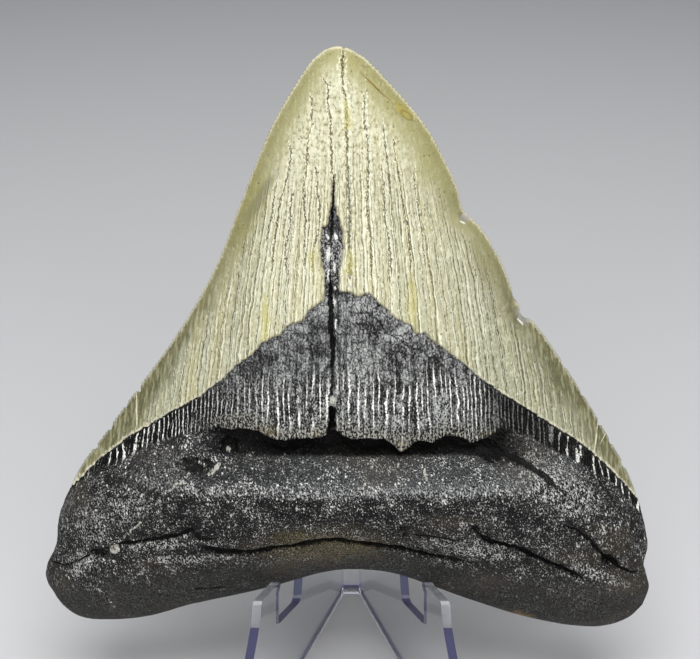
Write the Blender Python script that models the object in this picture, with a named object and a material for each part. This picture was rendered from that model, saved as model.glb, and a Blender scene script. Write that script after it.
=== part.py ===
"""Fossil megalodon tooth leaning on a small one-piece clear display easel.

Units are metres, +Z is up.  The tooth shows its lingual (tongue-side) face
towards -Y; the easel's narrow spine is at the back, towards +Y.

The tooth is described in its own slanted frame (x, h, n), in millimetres:
x runs to the right, h runs up along the flat labial face, and n is the height
above that face.  The easel is described by d, the distance forward of its
spine, and z, the height above the ground.
"""
import math

import bpy
import bmesh
import numpy as np

MM = 0.001

# ------------------------------------------------------------- dimensions, mm
# placing: moves the easel-centred design onto the middle of the base
SHIFT_X = 0.733
SHIFT_Y = 31.95

# easel
PLATE = 1.5                 # thickness of the moulded sheet
WING_ANGLE = 18.2           # each wing opens by this much from straight ahead, degrees
SPINE_HALF = 1.6            # half the width of the flat spine between the wings
WING_REACH = 65.4           # how far forward the feet come
BACK_H = 71.0               # height of the back rest
BACK_LEAN = 13.0            # back rest and tooth, degrees from upright
BACK_FOOT = (24.36, 15.3)    # d, z where the back rest meets the notch floor
NOTCH_FRONT = (35.5, 18.0)  # d, z of the notch's front corner
LIP_INNER = (35.2, 24.6)
LIP_TIP = (35.2, 26.0)
LIP_TIP_R = 1.0
LIP_CORNER = (42.9, 28.2)
FRONT_EDGE = [(43.4, 25.9), (44.3, 23.6), (47.1, 19.0), (51.4, 12.7), (57.4, 6.2), (64.6, 1.6)]

# tooth: where its frame sits on the easel
TOOTH_Y = -24.5
TOOTH_Z = 16.1

# silhouette in (x, h)
LEFT_SIDE = [(-55.0, 2.6), (-56.8, 6.2), (-56.3, 9.2), (-54.8, 12.8), (-54.2, 16.6),
             (-53.4, 19.4), (-51.9, 23.2), (-49.4, 28.0), (-45.9, 32.6), (-39.2, 41.8), (-33.1, 50.0),
             (-28.2, 57.6), (-23.9, 65.6), (-20.4, 74.4), (-17.2, 82.4), (-14.0, 89.6),
             (-9.9, 96.6), (-6.9, 101.0), (-4.4, 102.9)]
RIGHT_SIDE = [(54.3, 1.3), (55.4, 5.0), (54.4, 9.3), (54.8, 13.0), (53.7, 18.4),
              (52.3, 22.8), (49.4, 29.2), (45.9, 35.8), (41.0, 43.4), (35.3, 50.0),
              (32.4, 53.6), (29.2, 59.2), (26.6, 65.8), (22.8, 71.8), (19.9, 74.4),
              (19.0, 78.2), (16.6, 83.4), (13.6, 88.8), (10.3, 93.0), (6.4, 97.4),
              (2.6, 101.2), (0.0, 102.6)]
BOTTOM = [(-55.0, 2.6), (-53.3, 0.8), (-50.4, -1.0), (-44.4, -1.5), (-37.0, -0.7), (-30.2, 1.3),
          (-21.4, 3.2), (-14.6, 4.9), (-4.2, 7.9), (1.0, 8.3), (7.4, 7.6),
          (14.2, 5.3), (21.8, 2.4), (31.6, -0.8), (41.6, -2.6), (47.2, -2.6),
          (51.6, -1.2), (54.3, 1.3)]

# thickness of the middle of the tooth, (h, n)
MID_PROFILE = [(-4.0, 19.0), (4.0, 19.0), (11.0, 20.4), (17.0, 22.6), (23.0, 24.5),
               (28.0, 25.0), (31.0, 24.2), (34.0, 22.4), (37.5, 20.9), (41.0, 20.3),
               (48.0, 19.3), (60.0, 16.6), (74.0, 13.0), (86.0, 9.8),
               (95.0, 7.4), (103.2, 5.0)]
EDGE_N = 2.6                # height of the cutting edge above the labial plane
ROOT_RIM_N = 5.6            # height of the root's rounded rim
TORUS_SIDE_DROP = 0.34      # how much thinner the root gets out at its lobes
ROOT_ROUND = 10.0           # rounding radius round the ends of the root
ROOT_LIP = 3.0              # rounding of the root's bottom edge, under the arch
ROOT_SLOPE = 18.0           # height over which the bottom edge thickens to the torus
ROOT_ROUND_BACK = 5.0

COLS = 40                   # grid across the tooth
ROWS = 38                   # grid up the tooth


# ------------------------------------------------------------------- helpers
def material(name, rgb, roughness, metallic=0.0, transmission=0.0, ior=1.45, alpha=1.0):
    mat = bpy.data.materials.new(name)
    mat.use_nodes = True
    bsdf = mat.node_tree.nodes["Principled BSDF"]
    bsdf.inputs["Base Color"].default_value = (rgb[0], rgb[1], rgb[2], 1.0)
    bsdf.inputs["Roughness"].default_value = roughness
    bsdf.inputs["Metallic"].default_value = metallic
    bsdf.inputs["Transmission Weight"].default_value = transmission
    bsdf.inputs["IOR"].default_value = ior
    bsdf.inputs["Alpha"].default_value = alpha
    mat.diffuse_color = (rgb[0], rgb[1], rgb[2], alpha)
    return mat


def collection(name):
    col = bpy.data.collections.new(name)
    bpy.context.scene.collection.children.link(col)
    return col


def smooth_curve(points, steps=12):
    """Centripetal Catmull-Rom curve through the points, as an (N, 2) array."""
    p = np.asarray(points, float)
    p = np.vstack([2 * p[0] - p[1], p, 2 * p[-1] - p[-2]])
    out = []
    for i in range(1, len(p) - 2):
        p0, p1, p2, p3 = p[i - 1], p[i], p[i + 1], p[i + 2]
        t0 = 0.0
        t1 = t0 + np.linalg.norm(p1 - p0) ** 0.5
        t2 = t1 + np.linalg.norm(p2 - p1) ** 0.5
        t3 = t2 + np.linalg.norm(p3 - p2) ** 0.5
        for k in range(steps):
            t = t1 + (t2 - t1) * k / steps
            a1 = (t1 - t) / (t1 - t0) * p0 + (t - t0) / (t1 - t0) * p1
            a2 = (t2 - t) / (t2 - t1) * p1 + (t - t1) / (t2 - t1) * p2
            a3 = (t3 - t) / (t3 - t2) * p2 + (t - t2) / (t3 - t2) * p3
            b1 = (t2 - t) / (t2 - t0) * a1 + (t - t0) / (t2 - t0) * a2
            b2 = (t3 - t) / (t3 - t1) * a2 + (t - t1) / (t3 - t1) * a3
            out.append((t2 - t) / (t2 - t1) * b1 + (t - t1) / (t2 - t1) * b2)
    out.append(p[-2])
    return np.array(out)


def along(curve, fraction):
    """Points at the given fractions of a polyline's length."""
    seg = np.linalg.norm(np.diff(curve, axis=0), axis=1)
    run = np.concatenate([[0.0], np.cumsum(seg)])
    run /= run[-1]
    return np.stack([np.interp(fraction, run, curve[:, k]) for k in range(2)], -1)


def smoothstep(lo, hi, value):
    t = np.clip((value - lo) / (hi - lo), 0.0, 1.0)
    return t * t * (3.0 - 2.0 * t)


def edge_distance(points, outline):
    a, b = outline[:-1], outline[1:]
    ab = b - a
    best = np.full(len(points), 1e9)
    for i in range(len(a)):
        t = np.clip(((points - a[i]) @ ab[i]) / max(ab[i] @ ab[i], 1e-9), 0.0, 1.0)
        best = np.minimum(best, np.linalg.norm(points - a[i] - t[:, None] * ab[i], axis=1))
    return best


def mesh_object(name, mesh, col, mat):
    obj = bpy.data.objects.new(name, mesh)
    col.objects.link(obj)
    obj.data.materials.clear()
    obj.data.materials.append(mat)
    return obj


def plate_from_outline(name, outline, thickness, col):
    """A flat closed outline in XY, extruded symmetrically about z = 0, as a mesh."""
    curve = bpy.data.curves.new(name, "CURVE")
    curve.dimensions = "2D"
    curve.fill_mode = "BOTH"
    curve.extrude = thickness / 2.0
    spline = curve.splines.new("POLY")
    spline.points.add(len(outline) - 1)
    for point, (x, y) in zip(spline.points, outline):
        point.co = (x, y, 0.0, 1.0)
    spline.use_cyclic_u = True
    tmp = bpy.data.objects.new(name + "_curve", curve)
    col.objects.link(tmp)
    bpy.context.view_layer.update()
    evaluated = tmp.evaluated_get(bpy.context.evaluated_depsgraph_get())
    mesh = bpy.data.meshes.new_from_object(evaluated)
    bpy.data.objects.remove(tmp)
    bm = bmesh.new()
    bm.from_mesh(mesh)
    bmesh.ops.remove_doubles(bm, verts=bm.verts, dist=1e-6)
    bmesh.ops.recalc_face_normals(bm, faces=bm.faces)
    bm.to_mesh(mesh)
    bm.free()
    obj = bpy.data.objects.new(name, mesh)
    col.objects.link(obj)
    return obj


# ------------------------------------------------------------------- the easel
def rounded(corner, before, after, radius, steps=4):
    """Points of an arc that rounds a corner of a polygon."""
    c = np.asarray(corner, float)
    a = np.asarray(before, float) - c
    b = np.asarray(after, float) - c
    a /= np.linalg.norm(a)
    b /= np.linalg.norm(b)
    half = 0.5 * math.acos(float(np.clip(a @ b, -1.0, 1.0)))
    reach = radius / math.tan(half)
    mid = (a + b) / np.linalg.norm(a + b)
    centre = c + mid * radius / math.sin(half)
    start = c + a * reach - centre
    stop = c + b * reach - centre
    ang0 = math.atan2(start[1], start[0])
    turn = math.atan2(stop[1], stop[0]) - ang0
    turn = (turn + math.pi) % (2 * math.pi) - math.pi
    return [tuple(centre + radius * np.array([math.cos(ang0 + turn * k / steps),
                                              math.sin(ang0 + turn * k / steps)]))
            for k in range(steps + 1)]


def easel_side():
    """Side outline in (d, z): back, top, back rest, notch, lip, front edge, ground."""
    lean = math.tan(math.radians(BACK_LEAN))
    top_d = BACK_FOOT[0] - (BACK_H - BACK_FOOT[1]) * lean
    back = -PLATE - 1.0
    pts = [(back, 0.0), (back, BACK_H)]
    pts += rounded((top_d, BACK_H), (back, BACK_H), BACK_FOOT, 3.0)
    pts += rounded(BACK_FOOT, (top_d, BACK_H), NOTCH_FRONT, 1.2, 3)
    pts += rounded(NOTCH_FRONT, BACK_FOOT, LIP_INNER, 0.8, 3)
    pts.append(LIP_INNER)
    for k in range(7):                       # rounded end of the lip
        ang = math.radians(190.0 - 21.0 * k)
        pts.append((LIP_TIP[0] + LIP_TIP_R * math.cos(ang),
                    LIP_TIP[1] - 0.2 + LIP_TIP_R * math.sin(ang)))
    pts += rounded(LIP_CORNER, LIP_TIP, FRONT_EDGE[0], 0.7, 3)
    front = smooth_curve(FRONT_EDGE, 4)
    pts += [tuple(p) for p in front]
    pts += [(WING_REACH, 1.2), (WING_REACH, 0.0)]
    return pts


def easel_plan():
    """Plan outline in (x, y): a shallow V with a flat spine, open to the front."""
    ca, sa = math.cos(math.radians(WING_ANGLE)), math.sin(math.radians(WING_ANGLE))
    reach = (WING_REACH + 4.0) / ca
    inner = [(SPINE_HALF, 0.0), (SPINE_HALF + reach * sa, -reach * ca)]
    outer = [(inner[1][0] + PLATE * ca, inner[1][1] + PLATE * sa),
             (SPINE_HALF + PLATE * (1.0 - sa) / ca, PLATE)]
    right = inner + outer
    left = [(-x, y) for x, y in reversed(right)]
    return right + left


def make_easel(parts, cutters, mat):
    plan = [(x * MM, y * MM) for x, y in easel_plan()]
    easel = plate_from_outline("easel", plan, 80 * MM, parts)
    for vert in easel.data.vertices:
        vert.co.z += 38 * MM
    easel.data.materials.append(mat)

    side = [(-d * MM, z * MM) for d, z in easel_side()]
    keep = plate_from_outline("easel_side", side, 90 * MM, cutters)
    for vert in keep.data.vertices:           # (y, z, x) -> (x, y, z)
        y, z, x = vert.co
        vert.co = (x, y, z)
    keep.hide_render = True
    keep.display_type = "WIRE"

    cut = easel.modifiers.new("side_outline", "BOOLEAN")
    cut.operation = "INTERSECT"
    cut.solver = "EXACT"
    cut.object = keep
    return easel, keep


# ------------------------------------------------------------------- the tooth
def tooth_grid():
    left = smooth_curve(LEFT_SIDE)
    right = smooth_curve(RIGHT_SIDE)
    bottom = smooth_curve(BOTTOM)
    top = np.array([LEFT_SIDE[-1], (-2.2, 103.3), RIGHT_SIDE[-1]])
    top = smooth_curve(top)

    # closer rows and columns towards the rim, where the surface turns over
    s = np.linspace(0.0, 1.0, COLS + 1)
    u = 0.62 * (0.5 - 0.5 * np.cos(math.pi * s)) + 0.38 * s
    t = np.linspace(0.0, 1.0, ROWS + 1)
    v = t ** 1.45 * 0.92 + 0.08 * np.sin(0.5 * math.pi * t) ** 2
    v /= v[-1]
    uu, vv = np.meshgrid(u, v)

    lp, rp = along(left, v)[:, None, :], along(right, v)[:, None, :]
    bp, tp = along(bottom, u)[None, :, :], along(top, u)[None, :, :]
    uk, vk = uu[..., None], vv[..., None]
    grid = ((1 - uk) * lp + uk * rp + (1 - vk) * bp + vk * tp
            - ((1 - uk) * (1 - vk) * bottom[0] + uk * (1 - vk) * bottom[-1]
               + (1 - uk) * vk * top[0] + uk * vk * top[-1]))
    outline = np.vstack([bottom, right[1:], top[::-1][1:], left[::-1][1:]])
    return grid, outline, left, right


def tooth_surfaces(grid, outline, left, right):
    """Heights n of the lingual (front) and labial (back) surfaces on the grid."""
    shape = grid.shape[:2]
    pts = grid.reshape(-1, 2)
    x, h = pts[:, 0], pts[:, 1]
    dist = edge_distance(pts, outline)

    crown_l = left[np.argsort(left[:, 1])]
    crown_r = right[np.argsort(right[:, 1])]
    xl = np.interp(h, crown_l[:, 1], crown_l[:, 0])
    xr = np.interp(h, crown_r[:, 1], crown_r[:, 0])
    half = np.maximum(0.5 * (xr - xl), 0.5)
    s = np.clip(np.abs(x - 0.5 * (xl + xr)) / half, 0.0, 1.0)

    prof = np.array(MID_PROFILE)
    mid = np.interp(h, prof[:, 0], prof[:, 1])

    rim = EDGE_N + (ROOT_RIM_N - EDGE_N) * smoothstep(31.0, 19.0, h)
    # crown and bourlette: a lens between the cutting edges
    tip = np.clip((103.4 - h) / 7.0, 0.0, 1.0)
    lens = (1.0 - s ** 2.1) * np.sqrt(tip * (2.0 - tip))
    crown = EDGE_N + (mid - EDGE_N) * lens
    # root: a thick bar, thinner towards the lobes, rounded all round its rim
    bar = mid * (1.0 - TORUS_SIDE_DROP * (np.abs(x) / 50.0) ** 2.2)
    near = np.clip(dist / ROOT_ROUND, 0.0, 1.0)
    turn_end = np.sqrt(near * (2.0 - near))
    near = np.clip(dist / ROOT_LIP, 0.0, 1.0)
    rise = np.sin(0.5 * math.pi * np.clip(dist / ROOT_SLOPE, 0.0, 1.0))
    turn_arch = 0.25 * np.sqrt(near * (2.0 - near)) + 0.75 * rise
    at_end = smoothstep(22.0, 50.0, np.abs(x))
    turn = turn_arch + (turn_end - turn_arch) * at_end
    root = ROOT_RIM_N + (bar - ROOT_RIM_N) * turn
    margin = 36.0 - 9.5 * smoothstep(20.0, 50.0, np.abs(x))
    is_root = smoothstep(margin + 1.5, margin - 5.0, h)
    front = crown * (1 - is_root) + root * is_root

    flat = 2.0 * (np.clip(np.abs(x) - 10.0, 0.0, None) / 44.0) ** 1.6
    near_b = np.clip(dist / ROOT_ROUND_BACK, 0.0, 1.0)
    root_back = flat + (rim - flat) * (1.0 - np.sqrt(near_b * (2.0 - near_b)))
    crown_back = flat + (EDGE_N - flat) * np.clip(1.0 - dist / 9.0, 0.0, 1.0) ** 1.6
    back = crown_back * (1 - is_root) + root_back * is_root

    rim_exact = EDGE_N * (1 - is_root) + rim * is_root
    on_rim = dist < 1e-6
    front = np.where(on_rim, rim_exact, front)
    back = np.where(on_rim, rim_exact, back)
    return front.reshape(shape), back.reshape(shape)


def to_easel(x, h, n):
    """Tooth frame to easel frame, millimetres."""
    lean = math.radians(BACK_LEAN)
    return (x, TOOTH_Y + h * math.sin(lean) - n * math.cos(lean),
            TOOTH_Z + h * math.cos(lean) + n * math.sin(lean))


def make_tooth(parts, mat):
    grid, outline, left, right = tooth_grid()
    front, back = tooth_surfaces(grid, outline, left, right)
    rows, cols = front.shape
    bm = bmesh.new()

    def add(r, c, n):
        x, h = grid[r, c]
        return bm.verts.new([k * MM for k in to_easel(x, h, n)])

    f_vert = [[add(r, c, front[r, c]) for c in range(cols)] for r in range(rows)]
    b_vert = [[f_vert[r][c] if r in (0, rows - 1) or c in (0, cols - 1)
               else add(r, c, back[r, c]) for c in range(cols)] for r in range(rows)]
    for r in range(rows - 1):
        for c in range(cols - 1):
            bm.faces.new((f_vert[r][c], f_vert[r][c + 1], f_vert[r + 1][c + 1], f_vert[r + 1][c]))
            bm.faces.new((b_vert[r][c], b_vert[r + 1][c], b_vert[r + 1][c + 1], b_vert[r][c + 1]))
    bmesh.ops.recalc_face_normals(bm, faces=bm.faces)
    bmesh.ops.triangulate(bm, faces=bm.faces)
    mesh = bpy.data.meshes.new("tooth")
    bm.to_mesh(mesh)
    bm.free()
    mesh.shade_smooth()
    return mesh_object("tooth", mesh, parts, mat)


# ------------------------------------------------------------------------ main
def main():
    for obj in list(bpy.data.objects):
        bpy.data.objects.remove(obj)

    parts = collection("megalodon_tooth")
    cutters = collection("cutters")
    enamel = material("fossil_tooth", (0.30, 0.28, 0.20), 0.45)
    clear = material("clear_plastic", (0.86, 0.87, 0.95), 0.05, transmission=1.0,
                     ior=1.49, alpha=0.4)

    easel, keep = make_easel(parts, cutters, clear)
    tooth = make_tooth(parts, enamel)

    base = bpy.data.objects.new("base_centre", None)
    parts.objects.link(base)
    for obj in (easel, tooth, keep):
        obj.parent = base
    base.location = (SHIFT_X * MM, SHIFT_Y * MM, 0.0)


main()
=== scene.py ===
"""Megalodon tooth on a clear display easel: the visual model.

The tooth is one fossil, built as one mesh from outlines and relief
functions. The easel keeps the CAD's shape, with softened edges.
"""
import math

import bpy
import bmesh
import numpy as np
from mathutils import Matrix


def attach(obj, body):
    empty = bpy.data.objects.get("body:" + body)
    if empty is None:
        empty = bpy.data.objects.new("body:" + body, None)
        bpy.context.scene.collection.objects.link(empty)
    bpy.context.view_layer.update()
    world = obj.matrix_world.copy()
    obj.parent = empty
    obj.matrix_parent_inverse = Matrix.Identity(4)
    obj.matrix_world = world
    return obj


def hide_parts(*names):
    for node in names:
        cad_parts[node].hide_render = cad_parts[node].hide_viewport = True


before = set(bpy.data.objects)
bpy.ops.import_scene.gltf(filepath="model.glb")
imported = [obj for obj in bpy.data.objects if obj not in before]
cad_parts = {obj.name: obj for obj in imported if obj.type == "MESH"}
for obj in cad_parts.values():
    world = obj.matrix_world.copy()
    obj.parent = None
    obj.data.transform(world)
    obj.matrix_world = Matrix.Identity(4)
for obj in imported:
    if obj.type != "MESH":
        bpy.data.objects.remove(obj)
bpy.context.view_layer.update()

MM = 0.001
# from the easel's own frame, where its spine stands on x = 0, y = 0, to the shared frame
SHIFT = (0.733, 31.95)

# ---------------------------------------------------------------- noise tools
def _hash(ix, iy, seed):
    n = (ix.astype(np.int64) * 374761393 + iy.astype(np.int64) * 668265263 + seed * 2246822519) & 0xFFFFFFFF
    n = ((n ^ (n >> 13)) * 1274126177) & 0xFFFFFFFF
    n = ((n ^ (n >> 15)) * 2654435761) & 0xFFFFFFFF
    return ((n ^ (n >> 16)) & 0xFFFFFF) / float(0x1000000)


def perlin(x, y, seed=0):
    """Gradient noise, roughly -1..1."""
    ix, iy = np.floor(x), np.floor(y)
    fx, fy = x - ix, y - iy
    sx = fx * fx * fx * (fx * (fx * 6 - 15) + 10)
    sy = fy * fy * fy * (fy * (fy * 6 - 15) + 10)
    out = []
    for dy in (0, 1):
        for dx in (0, 1):
            ang = 2 * math.pi * _hash(ix + dx, iy + dy, seed)
            out.append(np.cos(ang) * (fx - dx) + np.sin(ang) * (fy - dy))
    a = out[0] + (out[1] - out[0]) * sx
    b = out[2] + (out[3] - out[2]) * sx
    return 1.5 * (a + (b - a) * sy)


def fbm(x, y, seed=0, octaves=4, gain=0.5):
    total, amp, norm = 0.0, 1.0, 0.0
    for k in range(octaves):
        total = total + amp * perlin(x * 2.03 ** k, y * 2.03 ** k, seed + 17 * k)
        norm += amp
        amp *= gain
    return total / norm


def cells(x, y, seed=0):
    """Distance to the nearest and second nearest of one random point a cell."""
    ix, iy = np.floor(x), np.floor(y)
    f1 = np.full(np.shape(x), 9.0)
    f2 = np.full(np.shape(x), 9.0)
    for dy in (-1, 0, 1):
        for dx in (-1, 0, 1):
            cx, cy = ix + dx, iy + dy
            px = cx + _hash(cx, cy, seed)
            py = cy + _hash(cx, cy, seed + 91)
            d = np.hypot(px - x, py - y)
            f2 = np.minimum(f2, np.maximum(f1, d))
            f1 = np.minimum(f1, d)
    return f1, f2


def smoothstep(lo, hi, value):
    t = np.clip((value - lo) / (hi - lo), 0.0, 1.0)
    return t * t * (3.0 - 2.0 * t)


def mix(a, b, t):
    return a + (b - a) * t


def smooth_curve(points, steps=12):
    """Centripetal Catmull-Rom curve through the points, as an (N, 2) array."""
    p = np.asarray(points, float)
    p = np.vstack([2 * p[0] - p[1], p, 2 * p[-1] - p[-2]])
    out = []
    for i in range(1, len(p) - 2):
        p0, p1, p2, p3 = p[i - 1], p[i], p[i + 1], p[i + 2]
        t0 = 0.0
        t1 = t0 + np.linalg.norm(p1 - p0) ** 0.5
        t2 = t1 + np.linalg.norm(p2 - p1) ** 0.5
        t3 = t2 + np.linalg.norm(p3 - p2) ** 0.5
        for k in range(steps):
            t = t1 + (t2 - t1) * k / steps
            a1 = (t1 - t) / (t1 - t0) * p0 + (t - t0) / (t1 - t0) * p1
            a2 = (t2 - t) / (t2 - t1) * p1 + (t - t1) / (t2 - t1) * p2
            a3 = (t3 - t) / (t3 - t2) * p2 + (t - t2) / (t3 - t2) * p3
            b1 = (t2 - t) / (t2 - t0) * a1 + (t - t0) / (t2 - t0) * a2
            b2 = (t3 - t) / (t3 - t1) * a2 + (t - t1) / (t3 - t1) * a3
            out.append((t2 - t) / (t2 - t1) * b1 + (t - t1) / (t2 - t1) * b2)
    out.append(p[-2])
    return np.array(out)


def arc(curve):
    seg = np.linalg.norm(np.diff(curve, axis=0), axis=1)
    return np.concatenate([[0.0], np.cumsum(seg)])


def along(curve, fraction):
    run = arc(curve)
    run = run / run[-1]
    return np.stack([np.interp(fraction, run, curve[:, k]) for k in range(2)], -1)


def table(points, value):
    """Smooth one-way interpolation (monotone cubic) through (key, value) points."""
    p = np.asarray(points, float)
    k, v = p[:, 0], p[:, 1]
    dk = np.diff(k)
    m = np.diff(v) / dk
    s = np.zeros(len(k))
    s[0], s[-1] = m[0], m[-1]
    for i in range(1, len(k) - 1):
        if m[i - 1] * m[i] > 0:
            w1, w2 = 2 * dk[i] + dk[i - 1], dk[i] + 2 * dk[i - 1]
            s[i] = (w1 + w2) / (w1 / m[i - 1] + w2 / m[i])
    value = np.clip(value, k[0], k[-1])
    i = np.clip(np.searchsorted(k, value) - 1, 0, len(k) - 2)
    t = (value - k[i]) / dk[i]
    a = (1 + 2 * t) * (1 - t) ** 2
    b = t * (1 - t) ** 2
    c = t * t * (3 - 2 * t)
    d = t * t * (t - 1)
    return a * v[i] + b * dk[i] * s[i] + c * v[i + 1] + d * dk[i] * s[i + 1]


def path_distance(x, h, path):
    """Distance to a polyline, and how far along it (0..1) the nearest point is."""
    p = np.asarray(path, float)
    run = arc(p)
    best = np.full(np.shape(x), 1e9)
    where = np.zeros(np.shape(x))
    for i in range(len(p) - 1):
        ax, ay = p[i]
        bx, by = p[i + 1] - p[i]
        t = np.clip(((x - ax) * bx + (h - ay) * by) / max(bx * bx + by * by, 1e-12), 0.0, 1.0)
        d = np.hypot(x - ax - t * bx, h - ay - t * by)
        closer = d < best
        best = np.where(closer, d, best)
        where = np.where(closer, (run[i] + t * (run[i + 1] - run[i])) / run[-1], where)
    return best, where


def inside(x, h, ring):
    p = np.asarray(ring, float)
    odd = np.zeros(np.shape(x), bool)
    j = len(p) - 1
    for i in range(len(p)):
        xi, yi = p[i]
        xj, yj = p[j]
        if yi != yj:
            odd ^= ((yi > h) != (yj > h)) & (x < (xj - xi) * (h - yi) / (yj - yi) + xi)
        j = i
    return odd


def signed_distance(x, h, ring):
    """Positive inside the closed ring."""
    p = np.vstack([ring, ring[:1]])
    d, _ = path_distance(x, h, p)
    return np.where(inside(x, h, ring), d, -d)


# ------------------------------------------------------- the tooth's own shape
# Everything about the tooth is laid out in its slanted frame, in millimetres:
# x to the right, h up along the flat labial face, n out of that face towards
# the viewer.
LEAN = math.radians(13.0)
TOOTH_Y, TOOTH_Z = -24.5, 16.1

LEFT_SIDE = [(-55.0, 2.6), (-56.8, 6.2), (-56.3, 9.2), (-54.6, 12.7), (-54.2, 16.6),
             (-53.5, 19.4), (-51.9, 23.2), (-49.4, 28.0), (-45.9, 32.6), (-42.4, 37.4), (-39.3, 41.6),
             (-33.1, 50.0), (-28.2, 57.6), (-23.9, 65.6), (-20.4, 74.4), (-17.2, 82.4),
             (-14.0, 89.6), (-9.9, 96.6), (-6.9, 100.8), (-4.6, 102.7)]
RIGHT_SIDE = [(54.3, 1.3), (55.4, 5.0), (54.2, 9.2), (54.8, 13.0), (53.7, 18.4),
              (52.3, 22.8), (50.4, 27.4), (48.3, 31.0), (46.0, 35.0), (41.0, 43.0),
              (36.6, 49.6), (33.4, 53.8), (30.6, 56.8), (29.2, 60.0), (26.6, 66.0),
              (23.0, 71.6), (20.0, 74.6), (19.0, 78.2), (16.6, 83.4), (13.6, 88.8),
              (10.3, 93.0), (6.4, 97.2), (2.6, 101.0), (0.2, 102.5)]
BOTTOM = [(-55.0, 2.6), (-53.3, 0.8), (-50.4, -1.0), (-44.4, -1.5), (-37.0, -0.7), (-30.2, 1.3),
          (-21.4, 3.2), (-14.6, 4.9), (-4.2, 7.9), (1.0, 8.3), (7.4, 7.6),
          (14.2, 5.3), (21.8, 2.4), (31.6, -0.8), (41.6, -2.6), (47.2, -2.6),
          (51.6, -1.2), (54.3, 1.3)]
TOP = [(-4.6, 102.7), (-2.8, 103.2), (-1.6, 103.1), (0.2, 102.5)]

# thickness of the middle of the root (torus) and of the crown, (h, n)
ROOT_MID = [(-6.0, 18.6), (2.0, 19.2), (8.0, 19.8), (14.0, 21.4), (19.0, 23.2), (24.0, 24.6),
            (28.2, 25.2), (29.8, 24.6), (31.6, 21.8), (34.0, 17.6), (36.0, 15.6), (60.0, 15.0)]
CROWN_MID = [(20.0, 21.5), (30.0, 21.0), (36.0, 20.6), (42.0, 20.2), (50.0, 18.9), (60.0, 16.7),
             (74.0, 13.1), (86.0, 9.9), (95.0, 7.6), (103.4, 5.4)]
EDGE_N = 2.6
ROOT_RIM_N = 5.6


def outline_curves():
    return (smooth_curve(LEFT_SIDE), smooth_curve(RIGHT_SIDE),
            smooth_curve(BOTTOM), smooth_curve(TOP))


def rim_height(h):
    return mix(EDGE_N, ROOT_RIM_N, smoothstep(31.0, 19.0, h))


def base_front(x, h, dist, xl, xr):
    """Height of the smooth lingual face, as crown and as root."""
    rim = rim_height(h)
    half = np.maximum(0.5 * (xr - xl), 0.4)
    s = np.clip(np.abs(x - 0.5 * (xl + xr)) / half, 0.0, 1.0)
    tip = np.clip((103.6 - h) / 7.0, 0.0, 1.0)
    tip = np.sqrt(tip * (2.0 - tip))
    mid = table(CROWN_MID, h)
    band = 2.3 * np.minimum(1.0, half / 9.0)
    edge = np.clip(dist / 4.3, 0.0, 1.0)
    edge = band * edge * (1.55 - 0.55 * edge)
    crown = rim + (edge + (mid - rim - band) * (1.0 - s ** 2.15)) * tip

    mid = table(ROOT_MID, h)
    bar = mid * (1.0 - 0.34 * (np.abs(x) / 50.0) ** 2.2)
    near = np.clip(dist / 10.0, 0.0, 1.0)
    turn_end = np.sqrt(near * (2.0 - near))
    near = np.clip(dist / 3.0, 0.0, 1.0)
    rise = np.sin(0.5 * math.pi * np.clip(dist / 18.0, 0.0, 1.0))
    turn_arch = 0.25 * np.sqrt(near * (2.0 - near)) + 0.75 * rise
    turn = mix(turn_arch, turn_end, smoothstep(22.0, 50.0, np.abs(x)))
    root = rim + (bar - rim) * turn
    return crown, root


def base_back(x, h, dist):
    """Height of the smooth labial face."""
    rim = rim_height(h)
    flat = 2.0 * (np.clip(np.abs(x) - 10.0, 0.0, None) / 44.0) ** 1.6
    near = np.clip(dist / 5.0, 0.0, 1.0)
    root = flat + (rim - flat) * (1.0 - np.sqrt(near * (2.0 - near)))
    crown = flat + (rim - flat) * np.clip(1.0 - dist / 9.0, 0.0, 1.0) ** 1.6
    return mix(crown, root, smoothstep(33.0, 25.0, h + 0.10 * np.abs(x)))



# ------------------------------------------------------------ surface features
# dark zone at the crown's base (bourlette), with the narrow spike up the middle
ENAMEL_EDGE = [(-52.0, 23.2), (-48.1, 27.2), (-46.0, 29.2), (-43.0, 31.7), (-40.4, 33.9), (-38.4, 35.3),
               (-34.9, 37.5), (-32.4, 39.3), (-29.8, 40.7), (-27.4, 42.3), (-25.5, 43.7),
               (-23.4, 45.4), (-21.6, 46.9), (-20.4, 48.3), (-18.7, 49.4), (-16.6, 51.3),
               (-15.7, 52.4), (-14.0, 53.5), (-12.2, 54.2), (-11.3, 55.5), (-9.9, 56.3),
               (-8.2, 56.9), (-7.3, 58.5), (-5.9, 59.5), (-4.7, 60.4), (-4.5, 62.2),
               (-4.6, 65.1), (-5.0, 66.8), (-5.3, 68.8), (-5.1, 70.8), (-4.9, 72.5), (-4.1, 72.9), (-3.8, 74.4),
               (-3.4, 76.2), (-3.15, 80.0), (-2.95, 76.6), (-2.5, 74.6), (-2.0, 73.3), (-1.6, 72.0),
               (-1.5, 69.7), (-1.6, 67.9), (-2.1, 66.1), (-2.2, 61.7), (-0.2, 61.8), (1.2, 61.0), (3.0, 61.6),
               (3.8, 61.0), (4.7, 59.9), (6.1, 58.9), (7.0, 57.7), (8.6, 56.8), (10.3, 55.9),
               (11.2, 54.5), (12.7, 54.9), (13.5, 53.7), (15.7, 52.2), (17.5, 50.7),
               (19.3, 49.4), (21.5, 47.4), (24.0, 45.4), (26.6, 43.4), (30.4, 40.9),
               (33.5, 38.7), (37.4, 35.9), (40.6, 33.7), (43.4, 31.3), (46.3, 28.6),
               (49.0, 25.8), (51.3, 23.2), (56.0, 18.0)]
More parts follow.
